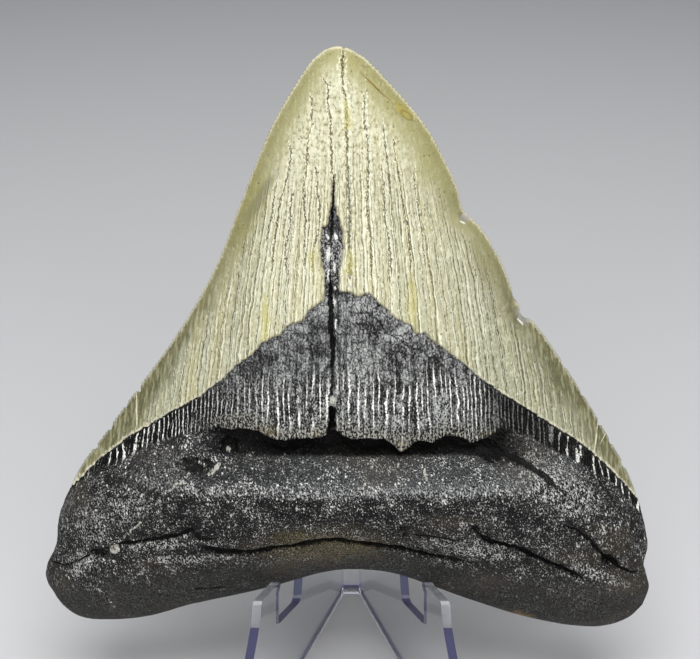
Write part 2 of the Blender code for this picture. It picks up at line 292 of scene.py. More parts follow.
# where that zone ends and the bare root begins
ROOT_EDGE = [(-56.0, 19.0), (-50.2, 24.6), (-47.8, 26.5), (-45.9, 28.1), (-43.5, 29.2), (-41.2, 30.4),
             (-37.0, 32.9), (-33.8, 34.6), (-29.8, 36.0), (-25.5, 37.2), (-23.1, 37.9),
             (-21.6, 37.6), (-18.6, 38.0), (-16.0, 37.8), (-13.9, 36.7), (-12.2, 36.3),
             (-10.2, 36.7), (-7.9, 37.0), (-5.6, 37.1), (-4.2, 37.7), (-2.7, 38.4), (-1.6, 37.7),
             (-0.2, 36.9), (2.6, 37.0), (5.5, 37.0), (6.7, 36.4), (7.6, 35.3), (8.6, 34.6),
             (10.0, 35.3), (11.4, 36.5), (14.3, 36.0), (16.0, 37.1), (18.6, 36.8),
             (20.7, 35.6), (22.2, 35.8), (23.6, 36.4), (26.0, 37.8), (28.9, 36.9),
             (31.9, 35.6), (34.2, 33.8), (37.3, 31.9), (40.5, 30.0), (43.3, 28.2),
             (46.2, 26.4), (48.4, 24.4), (50.7, 22.1), (56.0, 16.0)]
# the overhanging margin above the groove: it follows ROOT_EDGE, then runs on over the root
STEP_TAIL = [(22.2, 35.8), (23.6, 36.2), (25.1, 35.5), (26.6, 34.0), (28.9, 32.7), (31.1, 31.7),
             (33.4, 31.0), (36.5, 30.2), (42.0, 27.5), (60.0, 14.0)]
SLIT = [(-3.0, 81.5), (-3.2, 77.2), (-3.35, 73.5), (-3.5, 69.7), (-3.6, 65.5), (-3.6, 60.5),
        (-3.5, 55.5), (-3.2, 52.8), (-3.2, 50.0), (-3.3, 48.3), (-3.4, 45.5), (-3.3, 43.4),
        (-3.4, 40.3), (-3.4, 36.0)]
CRACKS = [  # path, half width, depth, drop below the crack
    ([(-45.2, 15.1), (-42.5, 16.1), (-40.9, 16.9), (-34.8, 18.5), (-29.6, 19.9), (-27.7, 21.1),
      (-26.3, 19.5), (-24.6, 19.2), (-21.0, 20.2)], 0.34, 1.1, 0.25),
    ([(-29.5, 17.6), (-25.6, 17.4), (-22.3, 16.2), (-17.0, 16.1), (-13.4, 17.1), (-9.8, 17.5), (-6.2, 18.5),
      (-2.7, 18.8), (-0.3, 18.1), (4.4, 17.1), (8.7, 16.4), (13.4, 15.0), (17.0, 14.3),
      (21.0, 13.5), (25.6, 13.4)], 0.62, 2.2, 0.7),
    ([(20.7, 22.3), (22.3, 20.2), (24.1, 18.8), (27.1, 18.0), (30.0, 16.7), (33.1, 14.7),
      (35.8, 13.2), (38.9, 11.3), (43.7, 8.3)], 0.40, 1.7, 0.35),
    ([(7.9, 19.0), (9.3, 20.3), (11.7, 20.4), (14.9, 19.8), (18.1, 19.1), (20.9, 20.0)], 0.22, 0.8, 0.2),
    ([(36.3, 21.6), (39.4, 20.0), (42.2, 17.6), (43.9, 15.4), (45.6, 13.2), (48.3, 11.2),
      (51.1, 9.2), (54.6, 8.4)], 0.26, 0.9, 0.5),
    ([(-29.0, 6.9), (-25.7, 6.7), (-22.4, 7.0)], 0.18, 0.5, 0.0),
    ([(-55.9, 9.8), (-51.8, 10.6), (-49.2, 12.2), (-45.2, 15.1)], 0.12, 0.8, 0.3),
    ([(22.2, 35.3), (26.6, 33.4), (29.8, 31.9), (32.5, 30.3), (35.3, 28.1), (37.0, 26.4)], 0.34, 1.2, 0.0),
]
PITS = [  # centre, radii, turn in degrees, depth
    ((-27.0, 31.6), (4.4, 1.3), 4.0, 1.7), ((-21.4, 34.2), (1.6, 1.7), 0.0, 1.8),
    ((46.2, 13.0), (2.1, 1.2), -40.0, 2.2), ((-45.0, 14.4), (2.2, 1.1), 12.0, 1.6),
    ((21.3, 21.6), (0.8, 1.0), 60.0, 0.9), ((8.6, 21.9), (1.2, 0.45), -5.0, 0.7),
]
LUMPS = [  # centre, radii, turn, height, how pale: loose fragments and swellings
    ((-41.9, 15.9), (1.15, 0.95), 10.0, 0.9, 0.80), ((-21.5, 33.9), (0.75, 0.6), 0.0, 1.1, 0.70),
    ((-23.4, 31.7), (1.2, 0.40), 45.0, 0.7, 0.90), ((-26.0, 31.9), (0.9, 0.30), -10.0, 0.7, 0.65),
    ((-3.3, 43.5), (0.55, 0.85), 0.0, 0.0, 1.0), ((12.7, 31.3), (0.45, 0.95), -12.0, 0.20, 0.85),
    ((13.1, 30.2), (0.3, 0.7), 30.0, 0.1, 0.7), ((32.1, 24.4), (0.8, 0.7), 0.0, 0.2, 0.45),
    ((8.2, 35.3), (1.2, 0.9), 0.0, 0.4, 0.25), ((26.4, 38.4), (1.5, 0.7), -10.0, 0.5, 0.0),
    ((-47.3, 12.4), (1.2, 0.6), 60.0, 0.4, 0.60), ((-49.6, 10.6), (0.7, 0.6), 0.0, 0.3, 0.55),
]
SCRATCH = [(-39.2, 19.4), (-37.2, 21.2), (-34.8, 24.0), (-32.9, 26.5), (-30.0, 29.3), (-27.1, 30.1),
           (-23.7, 31.1)]
CROWN_CRACKS = [  # path, half width, depth
    ([(-39.3, 42.2), (-38.8, 41.0), (-38.3, 38.7), (-37.7, 35.6)], 0.20, 0.9),
    ([(46.3, 35.3), (44.9, 33.9), (43.6, 32.0), (43.2, 31.0)], 0.13, 0.4),
    ([(1.9, 98.7), (3.8, 96.9), (5.2, 95.1), (6.4, 93.6)], 0.14, 0.25),
    ([(-1.35, 103.4), (-1.45, 101.0), (-1.6, 97.5)], 0.14, 0.5),
]
CROWN_LINES = [  # points (h, x), half width, strength
    ([(102.6, -1.4), (98.9, -1.6), (95.8, -1.3), (92.1, -0.8), (89.6, -0.9), (87.3, -0.7), (85.1, -0.8),
      (80.3, -0.5), (76.1, -0.3), (69.2, -0.4), (62.8, 0.0)], 0.34, 0.75),
    ([(98.6, -5.3), (97.2, -4.6), (96.0, -4.0), (94.6, -4.1), (90.7, -3.6), (88.4, -3.6), (83.9, -3.4),
      (80.3, -3.2)], 0.24, 0.95),
    ([(95.7, 2.5), (92.9, 2.2), (89.8, 2.4), (87.3, 2.8), (81.7, 2.9), (76.1, 2.7), (70.5, 3.3), (62.8, 3.5)], 0.24, 0.75),
    ([(95.4, -7.4), (91.5, -6.8), (87.5, -7.5), (83.3, -7.7), (78.8, -8.1), (73.2, -8.0), (64.8, -8.1)], 0.20, 0.85),
    ([(90.7, 5.4), (88.4, 5.6), (83.9, 6.2), (80.2, 6.6), (76.6, 6.8)], 0.17, 0.85),
    ([(83.9, 4.9), (80.3, 5.5), (74.7, 5.8), (69.1, 6.6), (63.6, 6.9)], 0.18, 0.85),
    ([(88.1, 7.5), (85.8, 7.4), (81.9, 8.1), (76.0, 9.0), (70.4, 9.9), (63.5, 10.2)], 0.17, 0.85),
    ([(83.6, -6.6), (81.1, -5.9), (78.9, -5.9), (76.1, -5.4), (73.3, -5.5), (68.2, -6.6), (63.5, -6.8)], 0.18, 0.85),
    ([(87.4, -11.3), (85.2, -10.5), (83.2, -10.7), (76.7, -12.3), (70.1, -13.3), (63.1, -14.0)], 0.18, 0.85),
    ([(79.3, -9.8), (75.9, -10.5), (72.3, -10.7), (68.3, -11.4), (63.3, -10.9)], 0.18, 0.85),
    ([(83.2, 10.9), (80.1, 10.9), (73.1, 12.0), (64.7, 12.8)], 0.16, 0.75),
    ([(80.6, -12.9), (77.2, -13.5), (74.1, -13.9), (68.6, -15.1)], 0.16, 0.75),
]
# broken places on the cutting edges: where, how far along the edge, how deep a bite
CHIPS = [("R", (30.7, 55.0), 1.5, 0.9), ("R", (29.2, 59.0), 0.9, 0.35), ("R", (19.2, 74.0), 0.7, 0.8),
         ("R", (45.6, 35.2), 0.6, 0.55), ("R", (47.4, 31.4), 0.7, 0.4), ("R", (38.8, 46.2), 0.8, 0.3),
         ("R", (42.4, 40.8), 0.6, 0.25), ("R", (25.6, 68.0), 0.6, 0.25), ("R", (50.2, 27.4), 0.7, 0.35),
         ("L", (-39.1, 41.7), 0.55, 0.7), ("L", (-44.6, 34.4), 0.6, 0.35), ("L", (-47.3, 30.8), 0.5, 0.45),
         ("L", (-41.6, 38.6), 0.4, 0.3)]


def ell(x, h, centre, radii, turn):
    a = math.radians(turn)
    dx, dh = x - centre[0], h - centre[1]
    return np.hypot((dx * math.cos(a) + dh * math.sin(a)) / radii[0],
                    (-dx * math.sin(a) + dh * math.cos(a)) / radii[1])


def zones(x, h):
    """Signed distances, mm: inside the enamel, and inside the bare root."""
    ex = x + 0.30 * fbm(x * 0.9, h * 0.9, 301, 4, 0.6)
    eh = h + 0.34 * fbm(x * 0.9, h * 0.9, 302, 4, 0.6)
    ring = ENAMEL_EDGE + [(56.0, 120.0), (-56.0, 120.0)]
    enamel = signed_distance(ex, eh, ring)
    ring = ROOT_EDGE + [(60.0, -20.0), (-60.0, -20.0)]
    root = signed_distance(ex, eh, ring)
    return enamel, root


GROWTH = [(10.0, 1.06), (40.0, 1.0), (55.0, 0.935), (64.0, 0.875), (75.0, 0.78), (85.0, 0.69),
          (95.0, 0.60), (104.0, 0.53)]


def growth(x, h):
    """Number of a growth line: the lines fan out from the tip down."""
    return (x + 1.5) / table(GROWTH, h)


def serrate(side, curve, seed):
    """Push a cutting edge in and out: fine rounded serrations, wear and chips."""
    run = arc(curve)
    fine = np.linspace(0.0, run[-1], int(run[-1] / 0.06))
    p = np.stack([np.interp(fine, run, curve[:, k]) for k in range(2)], -1)
    tangent = np.gradient(p, axis=0)
    tangent /= np.linalg.norm(tangent, axis=1)[:, None]
    out = np.stack([-tangent[:, 1], tangent[:, 0]], -1) * (1.0 if side == "L" else -1.0)
    h = p[:, 1]
    phase = fine / 0.84 + 0.5 * perlin(fine * 0.35, fine * 0.0, seed)
    tooth = np.abs(np.sin(math.pi * phase)) ** 0.75
    size = 0.30 + 0.10 * perlin(fine * 0.6, fine * 0.0 + 3.0, seed + 1)
    size = size * smoothstep(26.0, 30.0, h) * smoothstep(104.0, 99.0, h)
    if side == "R":
        size = size * (0.35 + 0.65 * smoothstep(80.0, 86.0, h) + 0.25 * perlin(fine * 0.2, fine * 0.0, seed + 4))
    push = size * (tooth - 1.0)
    wear = smoothstep(28.0, 34.0, h) * smoothstep(103.0, 98.0, h)
    rough = 0.16 if side == "L" else 0.30
    push += wear * rough * np.minimum(0.0, fbm(fine * 0.5, fine * 0.0, seed + 8, 3, 0.6))
    for where, at, width, bite in CHIPS:
        if where != side:
            continue
        d = np.hypot(p[:, 0] - at[0], p[:, 1] - at[1])
        push -= bite * np.exp(-(d / width) ** 4)
    lobe = smoothstep(24.0, 20.0, h)
    push += lobe * 0.28 * fbm(fine * 0.33, fine * 0.0 + 9.0, seed + 12, 4, 0.55)
    return p + out * push[:, None]


def relief(x, h, crown0, root0, dist, enamel, root_in):
    """Finished height of the lingual face, and the masks that colour it."""
    g = growth(x, h)
    # --- enamel
    wav = 0.10 * fbm(x * 0.10, h * 0.07, 11, 3)
    fibre = fbm(g * 1.05, h * 0.035, 12, 3, 0.6)
    inner = smoothstep(2.6, 5.0, dist + 0.5 * perlin(x * 0.2, h * 0.12, 14))
    crown = crown0 + wav + inner * 0.07 * fibre + 0.018 * perlin(g * 2.6, h * 0.20, 13)
    # short ribs that run in from the serrations on the flanks
    ribs = np.abs(perlin(x * 1.25, h * 0.10, 15))
    crown -= 0.16 * smoothstep(2.6, 0.4, dist) * (1 - ribs) * smoothstep(70.0, 52.0, h)
    for path, width, depth in CROWN_CRACKS:
        d, w = path_distance(x + 0.10 * perlin(x, h, 21), h, path)
        crown -= depth * np.exp(-(d / width) ** 2) * smoothstep(0.0, 0.1, 1.0 - w)
    crown += 0.22 * np.exp(-((x + 39.9) / 0.45) ** 2) * smoothstep(35.2, 36.5, h) * smoothstep(42.5, 41.5, h)
    # bevelled breaks behind the chips of the right edge
    d = ell(x, h, (30.6, 55.4), (2.3, 1.3), -45.0)
    crown -= 1.1 * smoothstep(1.0, 0.55, d) * (0.7 + 0.3 * perlin(x * 0.9, h * 0.9, 22))
    d = ell(x, h, (20.4, 73.4), (1.6, 0.8), -25.0)
    crown -= 0.7 * smoothstep(1.0, 0.5, d)
    crown -= 0.35 * smoothstep(0.30, 0.05, ell(x, h, (9.2, 91.9), (2.6, 0.9), -32.0) - 0.75)

    # --- bourlette: thinner skin, ribbed down the growth lines
    flank = smoothstep(12.0, 34.0, np.abs(x + 2.0))
    warp = g + 0.35 * perlin(g * 0.25, h * 0.16, 31) + 0.16 * perlin(g * 0.9, h * 0.5, 32)
    gap = mix(1.28, 0.98, flank) + 0.32 * smoothstep(36.0, 46.0, np.abs(x + 2.0))
    phase = warp / gap + 0.35 * perlin(g * 0.5, h * 0.05, 33)
    rib = 1.0 - np.abs(np.sin(math.pi * phase))
    rib = np.clip((rib - 0.42) / 0.58, 0.0, 1.0)
    keep = smoothstep(-0.35, 0.25, perlin(g * 1.3, h * 0.11, 34) + mix(-0.05, 0.35, flank))
    low = smoothstep(1.0, 6.0, enamel * -1.0) * (0.35 + 0.65 * smoothstep(22.0, 6.0, -root_in))
    keep = keep * np.maximum(low, flank * smoothstep(0.1, 0.8, -enamel))
    rib = rib * keep
    rib_h = mix(0.16, 0.42, flank)
    grain = fbm(x * 1.7, h * 1.1, 35, 4, 0.65)
    band = crown0 - 0.42 + rib_h * rib + 0.11 * grain
    band -= flank * 0.34 * smoothstep(0.3, 1.2, -enamel) * (1 - rib)
    band += 0.18 * smoothstep(1.2, 2.2, fbm(x * 0.35, h * 0.3, 36, 2) + 1.0)
    # the raised, broken plate right of the middle
    plate = smoothstep(-0.2, 0.2, 3.4 - np.abs(enamel + 1.9 + 0.9 * perlin(x * 0.5, h * 0.5, 37)) * 1.8)
    band += 0.22 * plate * smoothstep(1.0, 3.0, x) * smoothstep(17.0, 14.5, x)
    # swollen, crumbly lower margin
    lip = smoothstep(2.6, 0.2, -root_in)
    band += lip * (0.35 + 0.5 * fbm(x * 0.55, h * 0.55, 38, 3)) * smoothstep(36.0, 22.0, np.abs(x))

    # --- root
    ring = [p for p in ROOT_EDGE if p[0] < 22.0] + STEP_TAIL + [(60.0, -20.0), (-60.0, -20.0)]
    wx = x + 0.35 * fbm(x * 0.6, h * 0.6, 41, 3)
    wh = h + 0.35 * fbm(x * 0.6, h * 0.6, 42, 3)
    under = signed_distance(wx, wh, ring)
    side = smoothstep(-20.0, -30.0, x) + smoothstep(26.0, 35.0, x)
    side = np.clip(side, 0.0, 1.0)
    c = np.clip(under / 9.0, 0.0, 1.0)
    reach = mix(smoothstep(-0.12, 0.45, under), np.sqrt(c * (2.0 - c)), side)
    root = crown0 - 0.3 + (root0 - crown0 + 0.3) * reach
    coarse = fbm(x * 0.085, h * 0.11, 43, 3)
    lumpy = fbm(x * 0.33, h * 0.36, 44, 4, 0.55)
    gran = fbm(x * 1.35, h * 1.0, 45, 3, 0.7)
    f1, f2 = cells(x * 1.15, h * 0.75, 46)
    pore = smoothstep(0.34, 0.08, f1)
    basal = smoothstep(18.5, 13.0, h + 0.16 * np.abs(x) - 1.2 * perlin(x * 0.1, h * 0.1, 47))
    inside_root = smoothstep(0.0, 1.5, under)
    root += inside_root * (0.55 * coarse + mix(0.34, 0.16, basal) * lumpy
                           + mix(0.15, 0.06, basal) * gran - mix(0.22, 0.08, basal) * pore)
    # black: painted shade down in the cracks, pits and the slit
    black = np.zeros_like(x)
    jx = x + 0.28 * fbm(x * 0.9, h * 0.9, 51, 3)
    jh = h + 0.28 * fbm(x * 0.9, h * 0.9, 52, 3)
    for path, width, depth, drop in CRACKS:
        d, w = path_distance(jx, jh, path)
        ends = smoothstep(0.0, 0.14, w) * smoothstep(1.0, 0.78, w)
        wide = width * (0.30 + 0.70 * ends) * (1.0 + 0.55 * perlin(x * 0.45, h * 0.1, 53))
        p = np.asarray(path)
        line = np.interp(jx, p[:, 0], p[:, 1]) if p[-1, 0] > p[0, 0] else jh
        below = smoothstep(0.4, -0.4, jh - line) * np.exp(-np.maximum(0.0, d) / 3.2) * smoothstep(0.0, 0.1, w) * smoothstep(1.0, 0.9, w)
        cut = np.exp(-(d / np.maximum(wide, 0.05)) ** 2) * ends
        root -= depth * cut + drop * below
        root += 0.16 * np.exp(-((d - 1.1) / 0.7) ** 2) * ends
        black = np.maximum(black, cut ** 0.6)
    for centre, radii, turn, depth in PITS:
        d = ell(jx, jh, centre, radii, turn)
        hole = smoothstep(1.15, 0.45, d + 0.55 * fbm(x * 0.9, h * 1.2, 54, 3))
        root -= depth * hole
        black = np.maximum(black, hole * 0.62)
    pale = np.zeros_like(x)
    for centre, radii, turn, height, tone in LUMPS:
        d = ell(jx, jh, centre, radii, turn)
        top = tone * smoothstep(1.1, 0.7, d)
        root += height * np.sqrt(np.clip(1.2 - d, 0.0, 1.0)) * (d < 1.2)
        band += height * np.sqrt(np.clip(1.2 - d, 0.0, 1.0)) * (d < 1.2)
        pale = np.maximum(pale, top)
    d, w = path_distance(jx, jh, SCRATCH)
    scr = smoothstep(0.34, 0.06, d + 0.20 * fbm(x * 1.9, h * 1.9, 57, 2)) \
        * smoothstep(-0.20, 0.30, perlin(x * 0.6, h * 0.6, 55) + 0.35 * smoothstep(0.40, 0.1, w))
    pale = np.maximum(pale, 0.85 * scr)
    root += 0.12 * scr
    # brighter ledge along the crest of the torus
    crest = np.interp(x, [-36.0, -24.0, -12.0, 0.0, 12.0, 24.0, 34.0], [25.5, 27.9, 28.2, 28.3, 28.0, 27.5, 25.8])
    crest = crest + 0.35 * perlin(x * 0.25, x * 0.0, 56)
    top_face = np.exp(-((h - crest - 0.9) / 1.5) ** 2) * smoothstep(-38.0, -24.0, x) * smoothstep(36.0, 26.0, x)
    root += 0.45 * top_face

    # --- put the three zones together
    step = smoothstep(0.10, -0.10, enamel)
    front = mix(crown, band, step)
    on_root = np.where(side > 0.999, smoothstep(-0.3, 0.3, under), smoothstep(-0.10, 0.12, under))
    front = mix(front, root, on_root)

    # --- the slit down the middle
    d, w = path_distance(x + 0.22 * fbm(x * 0.6 + 3.0, h * 0.5, 61, 3), h, SLIT)
    hh = h + 0.5 * perlin(x * 0.3, h * 0.4, 62)
    wide = np.interp(hh, [36.0, 38.0, 42.0, 44.5, 47.0, 51.0, 54.0, 60.0, 63.0, 66.0, 70.0, 73.5, 76.0, 81.5],
                     [0.78, 0.66, 0.52, 0.16, 0.26, 0.34, 0.46, 0.40, 0.20, 0.07, 0.08, 0.22, 0.15, 0.08])
    deep = np.interp(hh, [36.0, 42.0, 44.5, 48.0, 54.0, 61.0, 66.0, 70.0, 74.0, 81.5],
                     [5.5, 4.0, 0.9, 1.6, 2.2, 2.0, 0.4, 0.4, 1.1, 0.4])
    slot = smoothstep(1.25, 0.75, d / np.maximum(wide, 0.04)) * smoothstep(35.5, 36.5, h)
    front = front - deep * slot * (1 - on_root)
    black = np.maximum(black * on_root, slot * (1 - on_root))
    d = ell(x, h, (-3.3, 43.4), (0.62, 1.0), 0.0)
    grain_top = smoothstep(1.15, 0.8, d)
    front = np.where(d < 1.3, np.maximum(front, crown0 - 0.3 - 0.9 * d * d), front)
    pale = np.maximum(pale, grain_top)
    black = black * (1 - grain_top)

    # pieces of the rim taper out so that the edge stays sharp
    hold = smoothstep(0.0, 0.9, dist)
    return front, hold, phase, keep, black, pale, under

# ------------------------------------------------------------- the tooth mesh
COLS, ROWS, SKIP = 290, 580, 5
FACE_TARGET = 192000


def tooth_arrays():
    left, right, bottom, top = outline_curves()
    left_s, right_s = serrate("L", left, 71), serrate("R", right, 81)
    run = arc(bottom)
    fine = np.linspace(0.0, run[-1], 1200)
    low = np.stack([np.interp(fine, run, bottom[:, k]) for k in range(2)], -1)
    fade = smoothstep(0.0, 6.0, np.minimum(fine, fine[-1] - fine))
    low[:, 1] += fade * 0.30 * fbm(fine * 0.22, fine * 0.0 + 5.0, 91, 4, 0.55)
    low[0], low[-1] = left_s[0], right_s[0]
    tip = smooth_curve([tuple(left_s[-1]), (-2.9, 103.2), (-1.75, 103.15), (-1.4, 102.75), (-1.1, 103.0),
                        tuple(right_s[-1])])

    s = np.linspace(0.0, 1.0, COLS + 1)
    u = 0.62 * (0.5 - 0.5 * np.cos(math.pi * s)) + 0.38 * s
    t = np.linspace(0.0, 1.0, ROWS + 1)
    v = 0.94 * t + 0.06 * np.sin(0.5 * math.pi * t) ** 2
    uu, vv = np.meshgrid(u, v)
    lp, rp = along(left_s, v)[:, None, :], along(right_s, v)[:, None, :]
    bp, tp = along(low, u)[None, :, :], along(tip, u)[None, :, :]
    uk, vk = uu[..., None], vv[..., None]
    grid = ((1 - uk) * lp + uk * rp + (1 - vk) * bp + vk * tp
            - ((1 - uk) * (1 - vk) * low[0] + uk * (1 - vk) * low[-1]
               + (1 - uk) * vk * tip[0] + uk * vk * tip[-1]))
    # distances are measured to the unserrated outline, from whichever side a point is
    ring = np.vstack([bottom, right[1:], top[::-1][1:], left[::-1][1:]])
    x, h = grid[..., 0].ravel(), grid[..., 1].ravel()
    d, _ = path_distance(x, h, ring[::2])
    dist = np.where(inside(x, h, ring), d, 0.0)
    rim = np.zeros(grid.shape[:2], bool)
    rim[0, :] = rim[-1, :] = rim[:, 0] = rim[:, -1] = True
    rim = rim.ravel()
    dist = np.where(rim, 0.0, dist)

    lo, ro = left[np.argsort(left[:, 1])], right[np.argsort(right[:, 1])]
    xl = np.interp(h, lo[:, 1], lo[:, 0])
    xr = np.interp(h, ro[:, 1], ro[:, 0])
    crown0, root0 = base_front(x, h, dist, xl, xr)
    enamel, root_in = zones(x, h)
    front, hold, phase, ribkeep, black, pale, under = relief(x, h, crown0, root0, dist, enamel, root_in)
    front = mix(mix(crown0, root0, smoothstep(0.0, 6.0, under)), front, hold)
    front = np.where(rim, rim_height(h), front)

    back0 = base_back(x, h, dist)
    labial = labial_zone(x, h)
    back = back0 + smoothstep(0.0, 3.0, dist) * labial_relief(x, h, labial)
    # keep the flat face clear of the back rest that it leans on
    back = np.maximum(back, -0.02)
    back = np.where(rim, rim_height(h), back)

    shape = grid.shape[:2]
    g = growth(x, h)
    channels = {"g": g, "enamel": enamel, "root_in": root_in, "phase": phase, "ribkeep": ribkeep, "black": black, "pale": pale,
                "edge": np.where(rim, 0.0, dist), "face": np.where(rim, 0.5, 0.0)}
    back_channels = {"g": g, "enamel": labial, "root_in": -labial - 1.2, "phase": phase, "ribkeep": np.zeros_like(x),
                     "black": np.zeros_like(x), "pale": np.zeros_like(x), "edge": dist,
                     "face": np.ones_like(x)}
    return (x.reshape(shape), h.reshape(shape), front.reshape(shape), back.reshape(shape),
            {k: a.reshape(shape) for k, a in channels.items()},
            {k: a.reshape(shape) for k, a in back_channels.items()})


def labial_zone(x, h):
    """Signed distance to the crown's base on the flat labial face."""
    ex = x + 0.5 * fbm(x * 0.5, h * 0.5, 401, 4, 0.6)
    eh = h + 0.6 * fbm(x * 0.5, h * 0.5, 402, 4, 0.6)
    line = smooth_curve([(-56.0, 22.0), (-49.5, 25.6), (-42.0, 27.8), (-32.0, 31.0), (-20.0, 34.6),
                         (-8.0, 36.4), (2.0, 36.6), (12.0, 35.6), (24.0, 32.4), (36.0, 28.2),
                         (44.0, 25.4), (51.0, 23.4), (57.0, 21.0)], 4)
    ring = np.vstack([line, [(57.0, 120.0), (-56.0, 120.0)]])
    return signed_distance(ex, eh, ring)


def labial_relief(x, h, labial):
    g = growth(x, h)
    crown = 0.05 * fbm(g * 0.9, h * 0.05, 411, 3) + 0.03 * fbm(x * 0.15, h * 0.15, 412, 2)
    root = 0.5 + 0.35 * fbm(x * 0.10, h * 0.12, 413, 3) + 0.22 * fbm(x * 0.42, h * 0.42, 414, 4, 0.6)
    root += 0.10 * fbm(x * 1.3, h * 1.0, 415, 2)
    f1, f2 = cells(x * 0.35, h * 0.35, 416)
    root += 0.45 * smoothstep(0.30, 0.06, f1)
    root = np.where(np.abs(x) < 14.0, np.maximum(root, 0.15), root)
    return mix(root, crown, smoothstep(-0.15, 0.15, labial))


def build_tooth():
    x, h, front, back, ch_f, ch_b = tooth_arrays()
    rows, cols = x.shape
    sl, cl = math.sin(LEAN), math.cos(LEAN)

    def place(xx, hh, nn):
        return np.stack([xx + SHIFT[0], TOOTH_Y + hh * sl - nn * cl + SHIFT[1],
                         TOOTH_Z + hh * cl + nn * sl], -1).reshape(-1, 3) * MM

    # the back keeps one point in SKIP each way, joined to every point of the rim
    r_keep = np.arange(SKIP, rows - SKIP, SKIP)
    c_keep = np.arange(SKIP, cols - SKIP, SKIP)
    bx, bh = x[np.ix_(r_keep, c_keep)], h[np.ix_(r_keep, c_keep)]
    bn = back[np.ix_(r_keep, c_keep)]
    co = np.vstack([place(x, h, front), place(bx, bh, bn)])
    idx = np.arange(rows * cols).reshape(rows, cols)
    bid = rows * cols + np.arange(len(r_keep) * len(c_keep)).reshape(len(r_keep), len(c_keep))

    a, b, c, d = idx[:-1, :-1], idx[:-1, 1:], idx[1:, 1:], idx[1:, :-1]
    # split each front quad along its shorter bend
    n = front
    flip = np.abs(n[:-1, :-1] - n[1:, 1:]) > np.abs(n[:-1, 1:] - n[1:, :-1])
    t1 = np.where(flip[..., None], np.stack([a, b, d], -1), np.stack([a, b, c], -1))
    t2 = np.where(flip[..., None], np.stack([b, c, d], -1), np.stack([a, c, d], -1))
    tris = [t1.reshape(-1, 3), t2.reshape(-1, 3)]
    a, b, c, d = bid[:-1, :-1], bid[:-1, 1:], bid[1:, 1:], bid[1:, :-1]
    tris += [np.stack([a, c, b], -1).reshape(-1, 3), np.stack([a, d, c], -1).reshape(-1, 3)]

    def stitch(outer, inner, reverse):
        """Fan triangles between a fine outer chain and a coarse inner one."""
        out, i, j = [], 0, 0
        while i < len(outer) - 1 or j < len(inner) - 1:
            fo = (i + 1) / (len(outer) - 1)
            fi = (j + 1) / max(len(inner) - 1, 1)
            if j >= len(inner) - 1 or (i < len(outer) - 1 and fo <= fi):
                out.append((outer[i], outer[i + 1], inner[j]))
                i += 1
            else:
                out.append((outer[i], inner[j + 1], inner[j]))
                j += 1
        out = np.array(out)
        return out[:, ::-1] if reverse else out

    tris.append(stitch(idx[0, :], bid[0, :], True))
    tris.append(stitch(idx[-1, :], bid[-1, :], False))
    tris.append(stitch(idx[:, 0], bid[:, 0], False))
    tris.append(stitch(idx[:, -1], bid[:, -1], True))
    tris = np.vstack(tris)

    mesh = bpy.data.meshes.new("tooth_fossil")
    mesh.vertices.add(len(co))
    mesh.vertices.foreach_set("co", co.astype(np.float32).ravel())
    mesh.loops.add(3 * len(tris))
    mesh.loops.foreach_set("vertex_index", tris.astype(np.int32).ravel())
    mesh.polygons.add(len(tris))
    mesh.polygons.foreach_set("loop_start", np.arange(0, 3 * len(tris), 3, dtype=np.int32))
    mesh.update(calc_edges=True)
    mesh.validate()
    for name in ch_f:
        attr = mesh.attributes.new(name, "FLOAT", "POINT")
        data = np.concatenate([ch_f[name].ravel(), ch_b[name][np.ix_(r_keep, c_keep)].ravel()])
        attr.data.foreach_set("value", data.astype(np.float32))
    attr = mesh.attributes.new("local", "FLOAT_VECTOR", "POINT")
    loc = np.vstack([np.stack([x.ravel(), h.ravel(), front.ravel()], -1),
                     np.stack([bx.ravel(), bh.ravel(), bn.ravel()], -1)])
    attr.data.foreach_set("vector", loc.astype(np.float32).ravel())

    obj = bpy.data.objects.new("tooth_fossil", mesh)
    bpy.context.scene.collection.objects.link(obj)
    thin = obj.modifiers.new("thin", "DECIMATE")
    thin.ratio = FACE_TARGET / len(tris)
    # the serrated rim keeps its points
    weight = 0.25 + 0.75 * smoothstep(0.0, 2.0, ch_f["edge"]) * np.ones_like(ch_f["edge"])
    weight = np.where(ch_f["edge"] < 0.30, 0.0, weight).ravel()
    group = obj.vertex_groups.new(name="thin")
    for level in np.unique(np.round(weight, 1)):
        pick = np.flatnonzero(np.round(weight, 1) == level)
        group.add([int(i) for i in pick], float(level), "REPLACE")
    group.add(list(range(rows * cols, len(co))), 1.0, "REPLACE")
    thin.vertex_group = "thin"
    thin.vertex_group_factor = 2.0
    dg = bpy.context.evaluated_depsgraph_get()
    done = bpy.data.meshes.new_from_object(obj.evaluated_get(dg), preserve_all_data_layers=True, depsgraph=dg)
    obj.modifiers.clear()
    obj.data = done
    done.name = "tooth_fossil"
    bpy.data.meshes.remove(mesh)
    done.shade_smooth()
    print("tooth", len(tris), "->", len(done.polygons), [a.name for a in done.attributes])
    return obj

